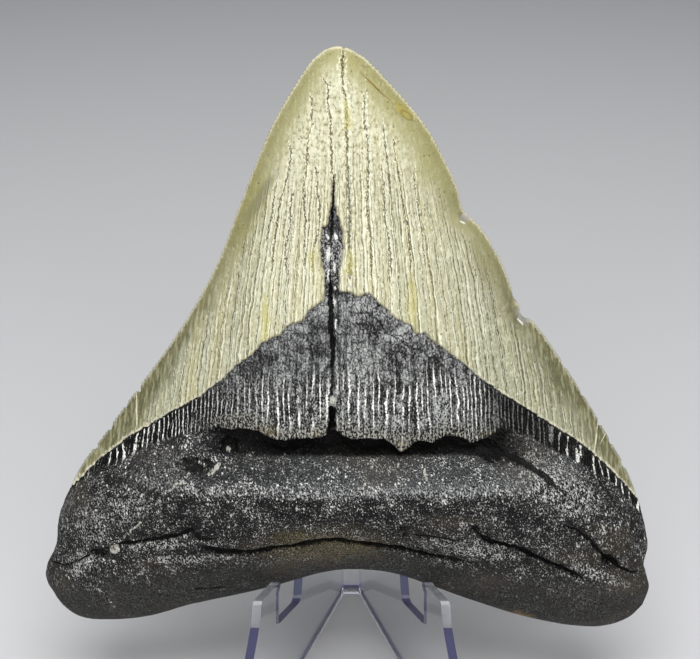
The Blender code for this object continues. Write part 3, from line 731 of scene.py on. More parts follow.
# ------------------------------------------------------------------ materials
class Graph:
    """A few short forms for writing a shader's node tree."""

    def __init__(self, name):
        self.mat = bpy.data.materials.new(name)
        self.mat.use_nodes = True
        self.tree = self.mat.node_tree
        self.tree.nodes.clear()
        self.out = self.tree.nodes.new("ShaderNodeOutputMaterial")

    def put(self, socket, value):
        if hasattr(value, "is_output"):
            self.tree.links.new(value, socket)
        elif isinstance(value, (tuple, list)) and len(value) == 3 and socket.type == "RGBA":
            socket.default_value = (*value, 1.0)
        else:
            socket.default_value = value

    def attr(self, name, kind="Fac"):
        node = self.tree.nodes.new("ShaderNodeAttribute")
        node.attribute_name = name
        return node.outputs[kind]

    def math(self, op, a, b=None, c=None, clamp=False):
        node = self.tree.nodes.new("ShaderNodeMath")
        node.operation = op
        node.use_clamp = clamp
        for socket, value in zip(node.inputs, (a, b, c)):
            if value is not None:
                self.put(socket, value)
        return node.outputs[0]

    def add(self, *terms):
        total = terms[0]
        for t in terms[1:]:
            total = self.math("ADD", total, t)
        return total

    def mul(self, *terms):
        total = terms[0]
        for t in terms[1:]:
            total = self.math("MULTIPLY", total, t)
        return total

    def inv(self, a):
        return self.math("SUBTRACT", 1.0, a)

    def step(self, value, lo, hi, a=0.0, b=1.0):
        """Smooth step of value from a at lo to b at hi."""
        node = self.tree.nodes.new("ShaderNodeMapRange")
        node.interpolation_type = "SMOOTHSTEP"
        if lo > hi:
            lo, hi, a, b = hi, lo, b, a
        self.put(node.inputs["Value"], value)
        for name, v in (("From Min", lo), ("From Max", hi), ("To Min", a), ("To Max", b)):
            self.put(node.inputs[name], v)
        return node.outputs[0]

    def line(self, value, lo, hi, a=0.0, b=1.0):
        node = self.tree.nodes.new("ShaderNodeMapRange")
        node.clamp = True
        self.put(node.inputs["Value"], value)
        for name, v in (("From Min", lo), ("From Max", hi), ("To Min", a), ("To Max", b)):
            self.put(node.inputs[name], v)
        return node.outputs[0]

    def vec(self, x, y, z=0.0):
        node = self.tree.nodes.new("ShaderNodeCombineXYZ")
        for socket, value in zip(node.inputs, (x, y, z)):
            self.put(socket, value)
        return node.outputs[0]

    def split(self, v):
        node = self.tree.nodes.new("ShaderNodeSeparateXYZ")
        self.put(node.inputs[0], v)
        return node.outputs

    def noise(self, v, scale=1.0, detail=2.0, rough=0.5):
        """Solid noise, roughly 0..1 about 0.5."""
        node = self.tree.nodes.new("ShaderNodeTexNoise")
        node.noise_dimensions = "3D"
        self.put(node.inputs["Vector"], v)
        node.inputs["Scale"].default_value = scale
        node.inputs["Detail"].default_value = detail
        node.inputs["Roughness"].default_value = rough
        return node.outputs["Fac"]

    def noise2(self, u, v, fu, fv, detail=1.0, rough=0.5, seed=0.0):
        """Flat noise over two coordinates, fu and fv times a millimetre."""
        node = self.tree.nodes.new("ShaderNodeTexNoise")
        node.noise_dimensions = "2D"
        at = self.vec(self.add(self.mul(u, fu), seed * 7.31), self.add(self.mul(v, fv), seed * 3.17))
        self.put(node.inputs["Vector"], at)
        node.inputs["Scale"].default_value = 1.0
        node.inputs["Detail"].default_value = detail
        node.inputs["Roughness"].default_value = rough
        return node.outputs["Fac"]

    def rand(self, value):
        """Three random numbers for a whole number."""
        node = self.tree.nodes.new("ShaderNodeTexWhiteNoise")
        node.noise_dimensions = "1D"
        self.put(node.inputs["W"], value)
        return self.split(node.outputs["Color"])

    def voronoi(self, v, feature="F1", flat=False):
        node = self.tree.nodes.new("ShaderNodeTexVoronoi")
        node.voronoi_dimensions = "2D" if flat else "3D"
        node.feature = feature
        self.put(node.inputs["Vector"], v)
        node.inputs["Scale"].default_value = 1.0
        return node.outputs

    def voronoi2(self, u, v, fu, fv, feature="F1"):
        return self.voronoi(self.vec(self.mul(u, fu), self.mul(v, fv)), feature, True)

    def blend(self, fac, a, b, mode="MIX"):
        node = self.tree.nodes.new("ShaderNodeMix")
        node.data_type = "RGBA"
        node.blend_type = mode
        node.clamp_factor = True
        ins = [s for s in node.inputs if s.enabled]
        self.put(ins[0], fac)
        self.put(ins[1], a)
        self.put(ins[2], b)
        return [s for s in node.outputs if s.enabled][0]

    def lerp(self, fac, a, b):
        node = self.tree.nodes.new("ShaderNodeMix")
        node.data_type = "FLOAT"
        node.clamp_factor = True
        ins = [s for s in node.inputs if s.enabled]
        self.put(ins[0], fac)
        self.put(ins[1], a)
        self.put(ins[2], b)
        return [s for s in node.outputs if s.enabled][0]

    def curve(self, value, keys, results):
        """A smooth curve through given points."""
        k0, k1 = min(keys), max(keys)
        r0, r1 = min(results) - 0.5, max(results) + 0.5
        node = self.tree.nodes.new("ShaderNodeFloatCurve")
        pts = sorted((float((k - k0) / (k1 - k0)), float((r - r0) / (r1 - r0))) for k, r in zip(keys, results))
        path = node.mapping.curves[0].points
        path[0].location, path[-1].location = pts[0], pts[-1]
        for p in pts[1:-1]:
            path.new(*p)
        node.mapping.update()
        self.put(node.inputs["Value"], self.line(value, k0, k1))
        return self.line(node.outputs[0], 0.0, 1.0, r0, r1)

    def near(self, x, h, at, radii, turn=0.0):
        """Distance from a point, in radii."""
        a = math.radians(turn)
        dx = self.math("SUBTRACT", x, at[0])
        dh = self.math("SUBTRACT", h, at[1])
        u = self.add(self.mul(dx, math.cos(a) / radii[0]), self.mul(dh, math.sin(a) / radii[0]))
        v = self.add(self.mul(dx, -math.sin(a) / radii[1]), self.mul(dh, math.cos(a) / radii[1]))
        return self.math("SQRT", self.add(self.mul(u, u), self.mul(v, v)))

    def bump(self, height_mm, strength=1.0, normal=None):
        node = self.tree.nodes.new("ShaderNodeBump")
        node.inputs["Strength"].default_value = strength
        node.inputs["Distance"].default_value = MM
        self.put(node.inputs["Height"], height_mm)
        if normal is not None:
            self.put(node.inputs["Normal"], normal)
        return node.outputs[0]

    def surface(self, **values):
        node = self.tree.nodes.new("ShaderNodeBsdfPrincipled")
        for name, value in values.items():
            self.put(node.inputs[name.replace("_", " ")], value)
        self.tree.links.new(node.outputs[0], self.out.inputs["Surface"])
        return node


def tooth_inputs(G):
    """What every zone of the tooth reads: place, growth line, distances and masks."""
    s = {}
    s["local"] = G.attr("local", "Vector")
    s["x"], s["h"], s["n"] = G.split(s["local"])[:3]
    s["g"] = G.attr("g")
    s["front"] = G.step(G.attr("face"), 0.55, 0.45)
    s["enamel"], s["root"], s["edge"] = G.attr("enamel"), G.attr("root_in"), G.attr("edge")
    s["grain"] = G.noise2(s["x"], s["h"], 2.9, 2.1, 1.0, 0.6, 5.0)
    s["fine"] = G.noise2(s["x"], s["h"], 1.5, 1.3, 2.0, 0.6, 1.0)
    s["away"] = G.math("ABSOLUTE", G.add(s["x"], 1.5))
    return s


def off(G, value, amount):
    """A 0..1 noise as a shift about zero."""
    return G.mul(G.math("SUBTRACT", value, 0.5), amount)


def enamel_look(G, s):
    x, h, g, edge, front, away = s["x"], s["h"], s["g"], s["edge"], s["front"], s["away"]
    grain, fine = s["grain"], s["fine"]
    blotch = G.noise2(x, h, 0.06, 0.040, 2.0, 0.55, 3.0)
    streak = G.noise2(g, h, 0.62, 0.016, 2.0, 0.6, 4.0)
    cream = G.blend(G.step(blotch, 0.34, 0.66), (0.475, 0.457, 0.303), (0.545, 0.533, 0.385))
    cream = G.blend(G.step(streak, 0.52, 0.40, 0.0, 0.40), cream, (0.49, 0.520, 0.39))
    # grey lower flanks: partly the crown's own grey-green, partly painted shade where the flanks turn away from the
    # light
    grey = G.blend(G.step(blotch, 0.35, 0.65), (0.285, 0.290, 0.200), (0.345, 0.352, 0.262))
    cream = G.blend(G.mul(G.step(away, 6.0, 27.0), G.step(h, 80.0, 52.0, 0.35, 1.0)), cream, grey)
    cream = G.blend(G.mul(G.step(streak, 0.50, 0.66), 0.60), cream, (0.43, 0.395, 0.205))
    # partly the crown's own tone, partly painted shade on the lower right flank
    cream = G.blend(G.mul(G.step(x, 14.0, 34.0), G.step(h, 66.0, 50.0), 0.35), cream, (0.24, 0.24, 0.158))
    for at, radii, amount, tone in (((-9.6, 72.0), (3.6, 11.0), 0.34, (0.74, 0.72, 0.54)), ((22.0, 60.0), (4.0, 8.0), 0.30, (0.70, 0.69, 0.53)),
                                    ((-22.5, 62.0), (3.4, 6.0), 0.30, (0.33, 0.325, 0.21)), ((-2.0, 92.0), (5.0, 7.0), 0.22, (0.42, 0.40, 0.27)),
                                    ((32.0, 49.5), (4.0, 5.0), 0.22, (0.27, 0.275, 0.20))):
        d = G.add(G.near(x, h, at, radii, 0.0), off(G, blotch, 1.2))
        cream = G.blend(G.mul(G.step(d, 1.3, 0.2), amount), cream, tone)
    # olive towards the cutting edges, darkest low down: partly the enamel's olive tint, partly painted shade where the
    # flanks turn away from the light
    olive = G.blend(G.step(h, 82.0, 46.0), (0.320, 0.297, 0.118), (0.098, 0.095, 0.044))
    olive = G.blend(G.mul(G.step(blotch, 0.35, 0.65), 0.35), olive, (0.31, 0.30, 0.18))
    near_edge = G.add(edge, off(G, blotch, 7.0), off(G, streak, 4.0))
    left_w = G.add(G.step(h, 38.0, 50.0, 5.8, 3.8), G.step(h, 66.0, 80.0, 0.0, 3.6))
    reach = G.lerp(G.step(x, -6.0, 4.0), left_w, G.step(h, 44.0, 74.0, 7.4, 7.8))
    margin = G.step(G.math("DIVIDE", near_edge, reach), 1.0, 0.22)
    crown = G.blend(G.mul(margin, 0.95), cream, olive)
    # mottling, pores and fine crackle
    mottle = G.noise2(x, h, 1.15, 0.62, 2.0, 0.7, 16.0)
    crown = G.blend(G.mul(G.step(mottle, 0.50, 0.66), G.lerp(margin, 0.26, 0.08)), crown, (0.80, 0.785, 0.60))
    crown = G.blend(G.mul(G.step(mottle, 0.48, 0.34), 0.36), crown, (0.34, 0.32, 0.18))
    net = G.voronoi2(G.add(x, off(G, fine, 0.8)), h, 0.95, 0.50, "DISTANCE_TO_EDGE")["Distance"]
    crown = G.blend(G.mul(G.step(net, 0.055, 0.010), G.step(grain, 0.42, 0.58), G.step(h, 66.0, 78.0, 0.25, 0.55)), crown,
                    (0.22, 0.20, 0.10))

    # growth lines: broken dark cracks at irregular distances, with painted highlights on the ridges beside them
    inner = G.step(G.add(edge, off(G, mottle, 3.0)), 2.0, 4.4)
    wob = G.noise2(g, h, 0.50, 0.22, 3.0, 0.60, 10.0)
    low = G.step(G.add(h, G.mul(away, 0.35), off(G, blotch, 12.0)), 93.0, 76.0)

    def lines(freq, seed, wide):
        p = G.add(G.mul(g, freq), off(G, wob, 1.1 * freq), seed)
        cell = G.math("FLOOR", p)
        f = G.math("FRACT", p)
        r1, r2, r3 = G.rand(cell)[:3]
        d = G.math("ABSOLUTE", G.math("SUBTRACT", f, 0.5))
        broken = G.noise2(cell, h, 5.3, 0.30, 3.0, 0.72, seed + 1.0)
        here = G.step(G.add(broken, G.mul(r1, 0.20)), 0.46, 0.58)
        prof = G.math("SUBTRACT", 1.0, G.math("DIVIDE", d, wide))
        dark = G.mul(G.step(G.add(prof, off(G, grain, 2.0), off(G, fine, 0.5)), 0.15, 0.65), here,
                     G.line(r1, 0.0, 1.0, 0.65, 1.0))
        lit = G.mul(G.step(G.math("ABSOLUTE", G.math("SUBTRACT", f, G.line(r2, 0.0, 1.0, 0.66, 0.86))), wide * 1.7, wide * 0.3),
                    G.step(G.add(broken, G.mul(r3, 0.3)), 0.55, 0.75))
        return dark, lit, r2

    dark1, lit1, tone1 = lines(0.60, 0.0, 0.075)
    dark2, lit2, tone2 = lines(1.30, 40.0, 0.125)
    crown = G.blend(G.mul(tone2, inner, low, 0.30), crown, (0.27, 0.25, 0.13))
    crown = G.blend(G.mul(tone1, inner, low, 0.12), crown, (0.33, 0.325, 0.24))
    lit = G.mul(G.math("MAXIMUM", lit1, G.mul(lit2, 0.8)), inner, low)
    crown = G.blend(G.mul(lit, G.lerp(G.step(away, 12.0, 28.0), 0.70, 0.40)), crown, (0.84, 0.825, 0.65))
    hair = G.mul(G.math("MAXIMUM", dark1, G.mul(dark2, 0.78)), inner, low)
    # the longer cracks of the upper crown, each given as points: (h, x)
    xw = G.add(x, off(G, fine, 0.75), off(G, mottle, 0.5))
    track = -9.0
    for pts, wide, amount in CROWN_LINES:
        hs = [p[0] for p in pts]
        cx = G.curve(h, hs, [p[1] for p in pts])
        d = G.math("ABSOLUTE", G.math("SUBTRACT", xw, cx))
        ends = G.mul(G.step(h, min(hs) - 0.2, min(hs) + 2.0), G.step(h, max(hs) + 0.2, max(hs) - 1.2))
        one = G.math("SUBTRACT", G.mul(ends, 1.0 + amount), G.add(1.0, G.mul(d, amount / wide)))
        track = G.math("MAXIMUM", track, one)
    faint = G.step(h, 72.0, 92.0, -0.08, 0.12)
    traced = G.mul(G.step(G.math("SUBTRACT", G.add(track, off(G, grain, 2.0), off(G, mottle, 1.2)), faint), 0.24, 0.62),
                   front)
    # painted highlight on the ridges beside the traced cracks
    halo = G.mul(G.step(track, -1.6, -0.5), G.step(track, 0.6, 0.0), G.step(grain, 0.44, 0.58), front)
    crown = G.blend(G.mul(halo, 0.60), crown, (0.84, 0.825, 0.65))
    hair = G.math("MAXIMUM", hair, traced)
    crown = G.blend(G.mul(hair, 0.88), crown, (0.070, 0.058, 0.030))

    # dark specks and pores, thickest in the upper middle
    cell = G.voronoi2(x, h, 1.10, 0.95)
    speck_r = G.split(cell["Color"])[0]
    speck_d = G.math("DIVIDE", cell["Distance"], G.line(speck_r, 0.84, 1.0, 0.10, 0.27))
    specks = G.mul(G.step(speck_d, 1.0, 0.4), G.step(speck_r, 0.84, 0.85))
    crown = G.blend(G.mul(specks, 0.70), crown, (0.13, 0.105, 0.050))
    pit = G.noise2(x, h, 1.9, 1.35, 1.0, 0.55, 18.0)
    pores = G.mul(G.step(G.add(pit, off(G, mottle, 0.35)), 0.43, 0.32), G.step(G.add(h, G.mul(away, -1.2)), 56.0, 80.0),
                  G.inv(margin))
    crown = G.blend(G.mul(pores, G.step(grain, 0.38, 0.60, 0.30, 0.75)), crown, (0.19, 0.158, 0.078))
    crown = G.blend(G.mul(G.step(G.add(pit, off(G, mottle, 0.35)), 0.58, 0.68), G.inv(margin), 0.22), crown,
                    (0.80, 0.785, 0.62))

    # short ribs run in from the serrations: their furrows get painted shade and their ridges painted light, and the
    # serration tips get a painted highlight
    fr = G.noise2(x, h, 1.7, 0.40, 1.0, 0.5, 15.0)
    furrows = G.mul(G.step(fr, 0.48, 0.40), G.step(edge, 4.2, 1.0), G.step(h, 68.0, 50.0))
    crown = G.blend(G.mul(furrows, 0.50), crown, (0.075, 0.070, 0.034))
    ridges = G.mul(G.step(fr, 0.54, 0.64), G.step(edge, 4.2, 1.0), G.step(h, 68.0, 50.0))
    crown = G.blend(G.mul(ridges, 0.40), crown, (0.50, 0.49, 0.34))
    beads = G.mul(G.step(G.add(edge, off(G, grain, 0.7)), 0.62, 0.15), front, G.step(h, 30.0, 60.0, 0.5, 1.0))
    crown = G.blend(G.mul(beads, 0.66), crown, (0.70, 0.665, 0.50))
    inner_edge = G.mul(G.step(edge, 0.6, 1.0), G.step(edge, 2.0, 1.1), G.step(grain, 0.62, 0.40), G.step(h, 60.0, 80.0, 0.6, 0.35))
    crown = G.blend(G.mul(inner_edge, front), crown, (0.22, 0.20, 0.09))

    # stains: ochre near the tip and in places along the middle, grey on the left edge
    for at, radii, turn, amount in (((-0.7, 91.0), (0.9, 3.0), 5.0, 0.40), ((-0.2, 66.5), (0.9, 2.6), 0.0, 0.40),
                                    ((-6.8, 67.5), (0.8, 2.4), 0.0, 0.40), ((-15.0, 55.5), (0.9, 6.0), 0.0, 0.45),
                                    ((10.5, 60.0), (1.0, 5.0), 0.0, 0.35)):
        d = G.add(G.near(x, h, at, radii, turn), off(G, mottle, 1.6))
        crown = G.blend(G.mul(G.step(d, 1.2, 0.5), amount, front), crown, (0.47, 0.43, 0.12))
    d = G.add(G.near(x, h, (8.9, 92.2), (2.4, 0.85), -41.0), off(G, mottle, 0.7))
    crown = G.blend(G.mul(G.step(d, 1.20, 0.70), 0.60, front), crown, (0.37, 0.31, 0.07))
    d = G.add(G.near(x, h, (9.7, 91.3), (1.2, 0.50), -38.0), off(G, mottle, 0.5))
    ring = G.math("ABSOLUTE", G.math("SUBTRACT", d, 0.95))
    crown = G.blend(G.mul(G.step(ring, 0.40, 0.10), 0.55, front), crown, (0.20, 0.145, 0.03))
    d = G.add(G.near(x, h, (4.4, 96.0), (0.17, 3.4), 47.0), off(G, grain, 0.9))
    crown = G.blend(G.mul(G.step(d, 1.3, 0.6), 0.85, front), crown, (0.20, 0.145, 0.045))
    smoke = G.step(G.add(G.near(x, h, (-15.9, 77.3), (0.9, 5.2), -32.0), off(G, blotch, 0.8)), 1.5, 0.4)
    crown = G.blend(G.mul(smoke, 0.50, front), crown, (0.17, 0.165, 0.11))
    # glassy grey where the edge has chipped, and a painted highlight under each chip
    for at, radii, turn in (((30.9, 55.2), (1.7, 1.0), -45.0), ((20.2, 73.2), (1.1, 0.6), -25.0)):
        d = G.add(G.near(x, h, at, radii, turn), off(G, fine, 1.0))
        crown = G.blend(G.mul(G.step(d, 1.1, 0.7), 0.75, front), crown, (0.30, 0.295, 0.275))
        d = G.add(G.near(x, h, (at[0] - 0.5, at[1] - 0.6), (0.55 * radii[0], 0.20), turn), off(G, fine, 0.8))
        crown = G.blend(G.mul(G.step(d, 1.1, 0.6), 0.80, front), crown, (0.84, 0.83, 0.72))
    # painted highlights along the edges of two old breaks low on the flanks, each with a dark line of painted shade
    # beside it
    for at, radii, turn in (((44.7, 33.4), (0.16, 2.8), -16.0), ((-39.0, 38.6), (0.15, 3.0), 8.0),
                            ((46.6, 33.0), (0.12, 1.6), -50.0)):
        d = G.add(G.near(x, h, at, radii, turn), off(G, grain, 0.9))
        crown = G.blend(G.mul(G.step(d, 1.25, 0.7), 0.75, front), crown, (0.70, 0.68, 0.50))
        d = G.add(G.near(x, h, (at[0] + 0.42, at[1]), radii, turn), off(G, grain, 0.9))
        crown = G.blend(G.mul(G.step(d, 1.25, 0.7), 0.70, front), crown, (0.10, 0.09, 0.045))

    # thin dark line where the enamel ends, and a pale one along the flanks
    outline = G.step(G.add(s["enamel"], off(G, fine, 0.25)), 0.48, 0.10)
    flank = G.step(away, 14.0, 30.0)
    crown = G.blend(G.mul(outline, G.lerp(flank, 0.65, 0.0)), crown, (0.12, 0.10, 0.06))
    lip = G.mul(G.step(G.add(s["enamel"], off(G, grain, 0.5)), 0.55, 0.20), flank)
    crown = G.blend(G.mul(lip, G.step(fine, 0.40, 0.60, 0.15, 0.75)), crown, (0.70, 0.665, 0.51))
    height = G.add(G.mul(hair, -0.10), G.mul(lit, 0.05), G.mul(fine, 0.035))
    return crown, 0.36, G.add(height, 0.16)


def band_look(G, s):
    x, h, g, front, away = s["x"], s["h"], s["g"], s["front"], s["away"]
    grain, fine = s["grain"], s["fine"]
    phase, ribkeep = G.attr("phase"), G.attr("ribkeep")
    cloud = G.noise2(x, h, 0.16, 0.13, 2.0, 0.6, 24.0)
    gran = G.noise2(x, h, 3.3, 2.3, 1.0, 0.60, 21.0)
    rough2 = G.noise2(x, h, 0.75, 0.50, 2.0, 0.65, 27.0)
    flank = G.step(G.math("ABSOLUTE", G.add(x, 1.0)), 18.0, 30.0)
    side = G.step(x, -1.0, 2.0)
    base = G.blend(G.step(G.add(G.mul(rough2, 0.5), G.mul(cloud, 0.5)), 0.38, 0.62), (0.040, 0.041, 0.041),
                   G.blend(G.step(x, -24.0, -6.0), (0.155, 0.161, 0.158), G.blend(side, (0.315, 0.324, 0.317), (0.350, 0.358, 0.350))))
    lowered = G.step(G.add(s["root"], off(G, cloud, 7.0)), -13.0, -4.0)
    bright = G.mul(G.step(G.add(gran, off(G, rough2, 0.30)), 0.54, 0.70),
                   G.lerp(lowered, G.lerp(side, 0.26, 0.48), G.step(x, -20.0, -9.0, 0.50, 0.90)))
    base = G.blend(bright, base, (0.52, 0.525, 0.51))
    base = G.blend(G.mul(G.step(G.add(gran, off(G, rough2, 0.30)), 0.47, 0.36), G.lerp(lowered, 0.60, 0.95)), base,
                   (0.006, 0.006, 0.006))
    # a net of fine wrinkles drawn out down the tooth
    net = G.voronoi2(G.add(x, off(G, rough2, 1.2)), h, 1.35, 0.62, "DISTANCE_TO_EDGE")["Distance"]
    base = G.blend(G.mul(G.step(net, 0.11, 0.02), G.lerp(lowered, 0.80, 0.55)), base, (0.006, 0.006, 0.006))
    wave = G.inv(G.math("ABSOLUTE", G.math("SINE", G.mul(phase, math.pi))))
    ragged = G.math("SUBTRACT", G.noise2(g, h, 1.7, 0.62, 2.0, 0.75, 23.0), 0.5)
    ribline = G.step(G.add(wave, G.mul(ragged, 1.15), off(G, grain, 0.50), G.mul(flank, -0.02)), 0.60, 0.76)
    rise = G.add(s["root"], off(G, G.noise2(g, h, 0.9, 0.03, 1.0, 0.6, 29.0), 9.0), G.mul(flank, 1.5),
                 G.mul(G.step(x, 6.0, 12.0), 2.5))
    rib = G.mul(ribline, G.step(ribkeep, 0.05, 0.40), G.step(rise, -11.0, -7.0),
                G.add(G.step(x, 20.0, 26.0, 1.0, 0.16), G.step(x, 35.0, 40.0, 0.0, 0.68)),
                G.add(G.step(x, -14.0, -18.0, 1.0, 0.50), G.step(x, -26.0, -31.0, 0.0, 0.50)))
    furrow = G.mul(G.step(G.add(wave, G.mul(ragged, 0.5)), 0.50, 0.18), G.step(ribkeep, 0.0, 0.5))
    bour = G.blend(G.mul(flank, 0.94), base, (0.006, 0.006, 0.006))
    # painted shade in the furrows between the ribs
    bour = G.blend(G.mul(furrow, G.lerp(flank, 0.60, 0.95)), bour, (0.004, 0.004, 0.004))
    # thin second lines between the ribs
    p = G.add(G.mul(g, 1.75), off(G, cloud, 3.0), off(G, gran, 0.7))
    cell = G.math("FLOOR", p)
    d = G.math("ABSOLUTE", G.math("SUBTRACT", G.math("FRACT", p), 0.5))
    broken = G.noise2(cell, h, 3.7, 0.30, 1.0, 0.6, 26.0)
    thin = G.mul(G.step(d, 0.20, 0.08), G.step(broken, 0.50, 0.62))
    bour = G.blend(G.mul(thin, G.inv(flank), 0.80), bour, (0.006, 0.006, 0.006))
    thin = G.mul(G.step(G.add(d, G.mul(ragged, 0.3)), 0.34, 0.46), G.step(broken, 0.54, 0.42), G.step(gran, 0.40, 0.54))
    bour = G.blend(G.mul(thin, G.lerp(lowered, 0.22, 0.75), G.step(x, 20.0, 26.0, 1.0, 0.20)), bour, (0.56, 0.56, 0.53))
    # painted highlight on the rib crests
    bour = G.blend(G.mul(rib, G.step(gran, 0.34, 0.50, 0.45, 1.0)), bour, (0.95, 0.95, 0.89))
    # crusty lower margin with a few tan spots
    crust = G.step(G.add(s["root"], off(G, cloud, 3.0)), -3.2, -0.9)
    crust = G.mul(crust, G.inv(flank), front)
    bour = G.blend(G.mul(crust, 0.55), bour, (0.020, 0.020, 0.018))
    bour = G.blend(G.mul(crust, G.step(G.add(gran, off(G, grain, 0.4)), 0.50, 0.66), 0.85), bour, (0.36, 0.345, 0.285))
    bour = G.blend(G.mul(crust, G.step(G.add(gran, off(G, grain, 0.4)), 0.47, 0.38), 0.85), bour, (0.006, 0.006, 0.006))
    for at, radii in (((-14.5, 37.8), (2.4, 1.1)), ((8.4, 35.6), (1.6, 1.3)), ((-6.0, 37.8), (1.2, 0.7)),
                      ((24.0, 36.6), (1.6, 0.8))):
        d = G.add(G.near(x, h, at, radii), off(G, gran, 2.4))
        bour = G.blend(G.mul(G.step(d, 1.15, 0.4), G.step(grain, 0.36, 0.58), 0.40, front), bour, (0.22, 0.175, 0.08))
    # the broken plate beside the slit: a dark line under it
    plate = G.mul(G.step(G.math("ABSOLUTE", G.add(s["enamel"], 2.6, off(G, cloud, 2.0), off(G, fine, 0.8))), 0.26, 0.06),
                  G.step(x, 0.5, 2.0), G.step(x, 18.0, 15.0), front)
    bour = G.blend(G.mul(plate, 0.9), bour, (0.004, 0.004, 0.004))
    # white crumbs caught in the spike up the middle
    spike = G.mul(G.step(h, 60.0, 62.5), G.step(G.math("ABSOLUTE", G.add(x, 3.3)), 3.2, 2.4), front)
    wide_part = G.mul(G.step(h, 62.5, 64.5), G.step(h, 72.0, 70.0))
    bour = G.blend(G.mul(spike, G.step(grain, 0.60, 0.46), G.lerp(wide_part, 0.85, 0.55)), bour, (0.006, 0.006, 0.006))
    bour = G.blend(G.mul(spike, wide_part, G.step(grain, 0.52, 0.62), 0.80), bour, (0.40, 0.40, 0.385))
    crumbs = 0.0
    for at, radii, turn in (((-3.8, 68.0), (0.50, 1.1), -8.0), ((-2.7, 71.0), (0.30, 0.7), 16.0), ((-2.9, 65.9), (0.25, 0.8), 0.0),
                            ((-3.9, 64.6), (0.26, 1.0), 0.0), ((-3.7, 78.3), (0.40, 0.22), 30.0),
                            ((-2.9, 60.2), (0.20, 0.7), 0.0), ((-2.7, 56.5), (0.2, 0.9), 0.0),
                            ((-4.1, 71.0), (0.22, 0.5), 20.0), ((-2.9, 62.4), (0.3, 0.35), 0.0)):
        d = G.add(G.near(x, h, at, radii, turn), off(G, grain, 2.2))
        crumbs = G.math("MAXIMUM", crumbs, G.step(d, 1.15, 0.65))
    bour = G.blend(G.mul(crumbs, front, 0.9), bour, (0.74, 0.74, 0.69))
    height = G.add(G.mul(gran, 0.36), G.mul(rib, 0.18), G.mul(furrow, -0.12))
    return bour, 0.50, height


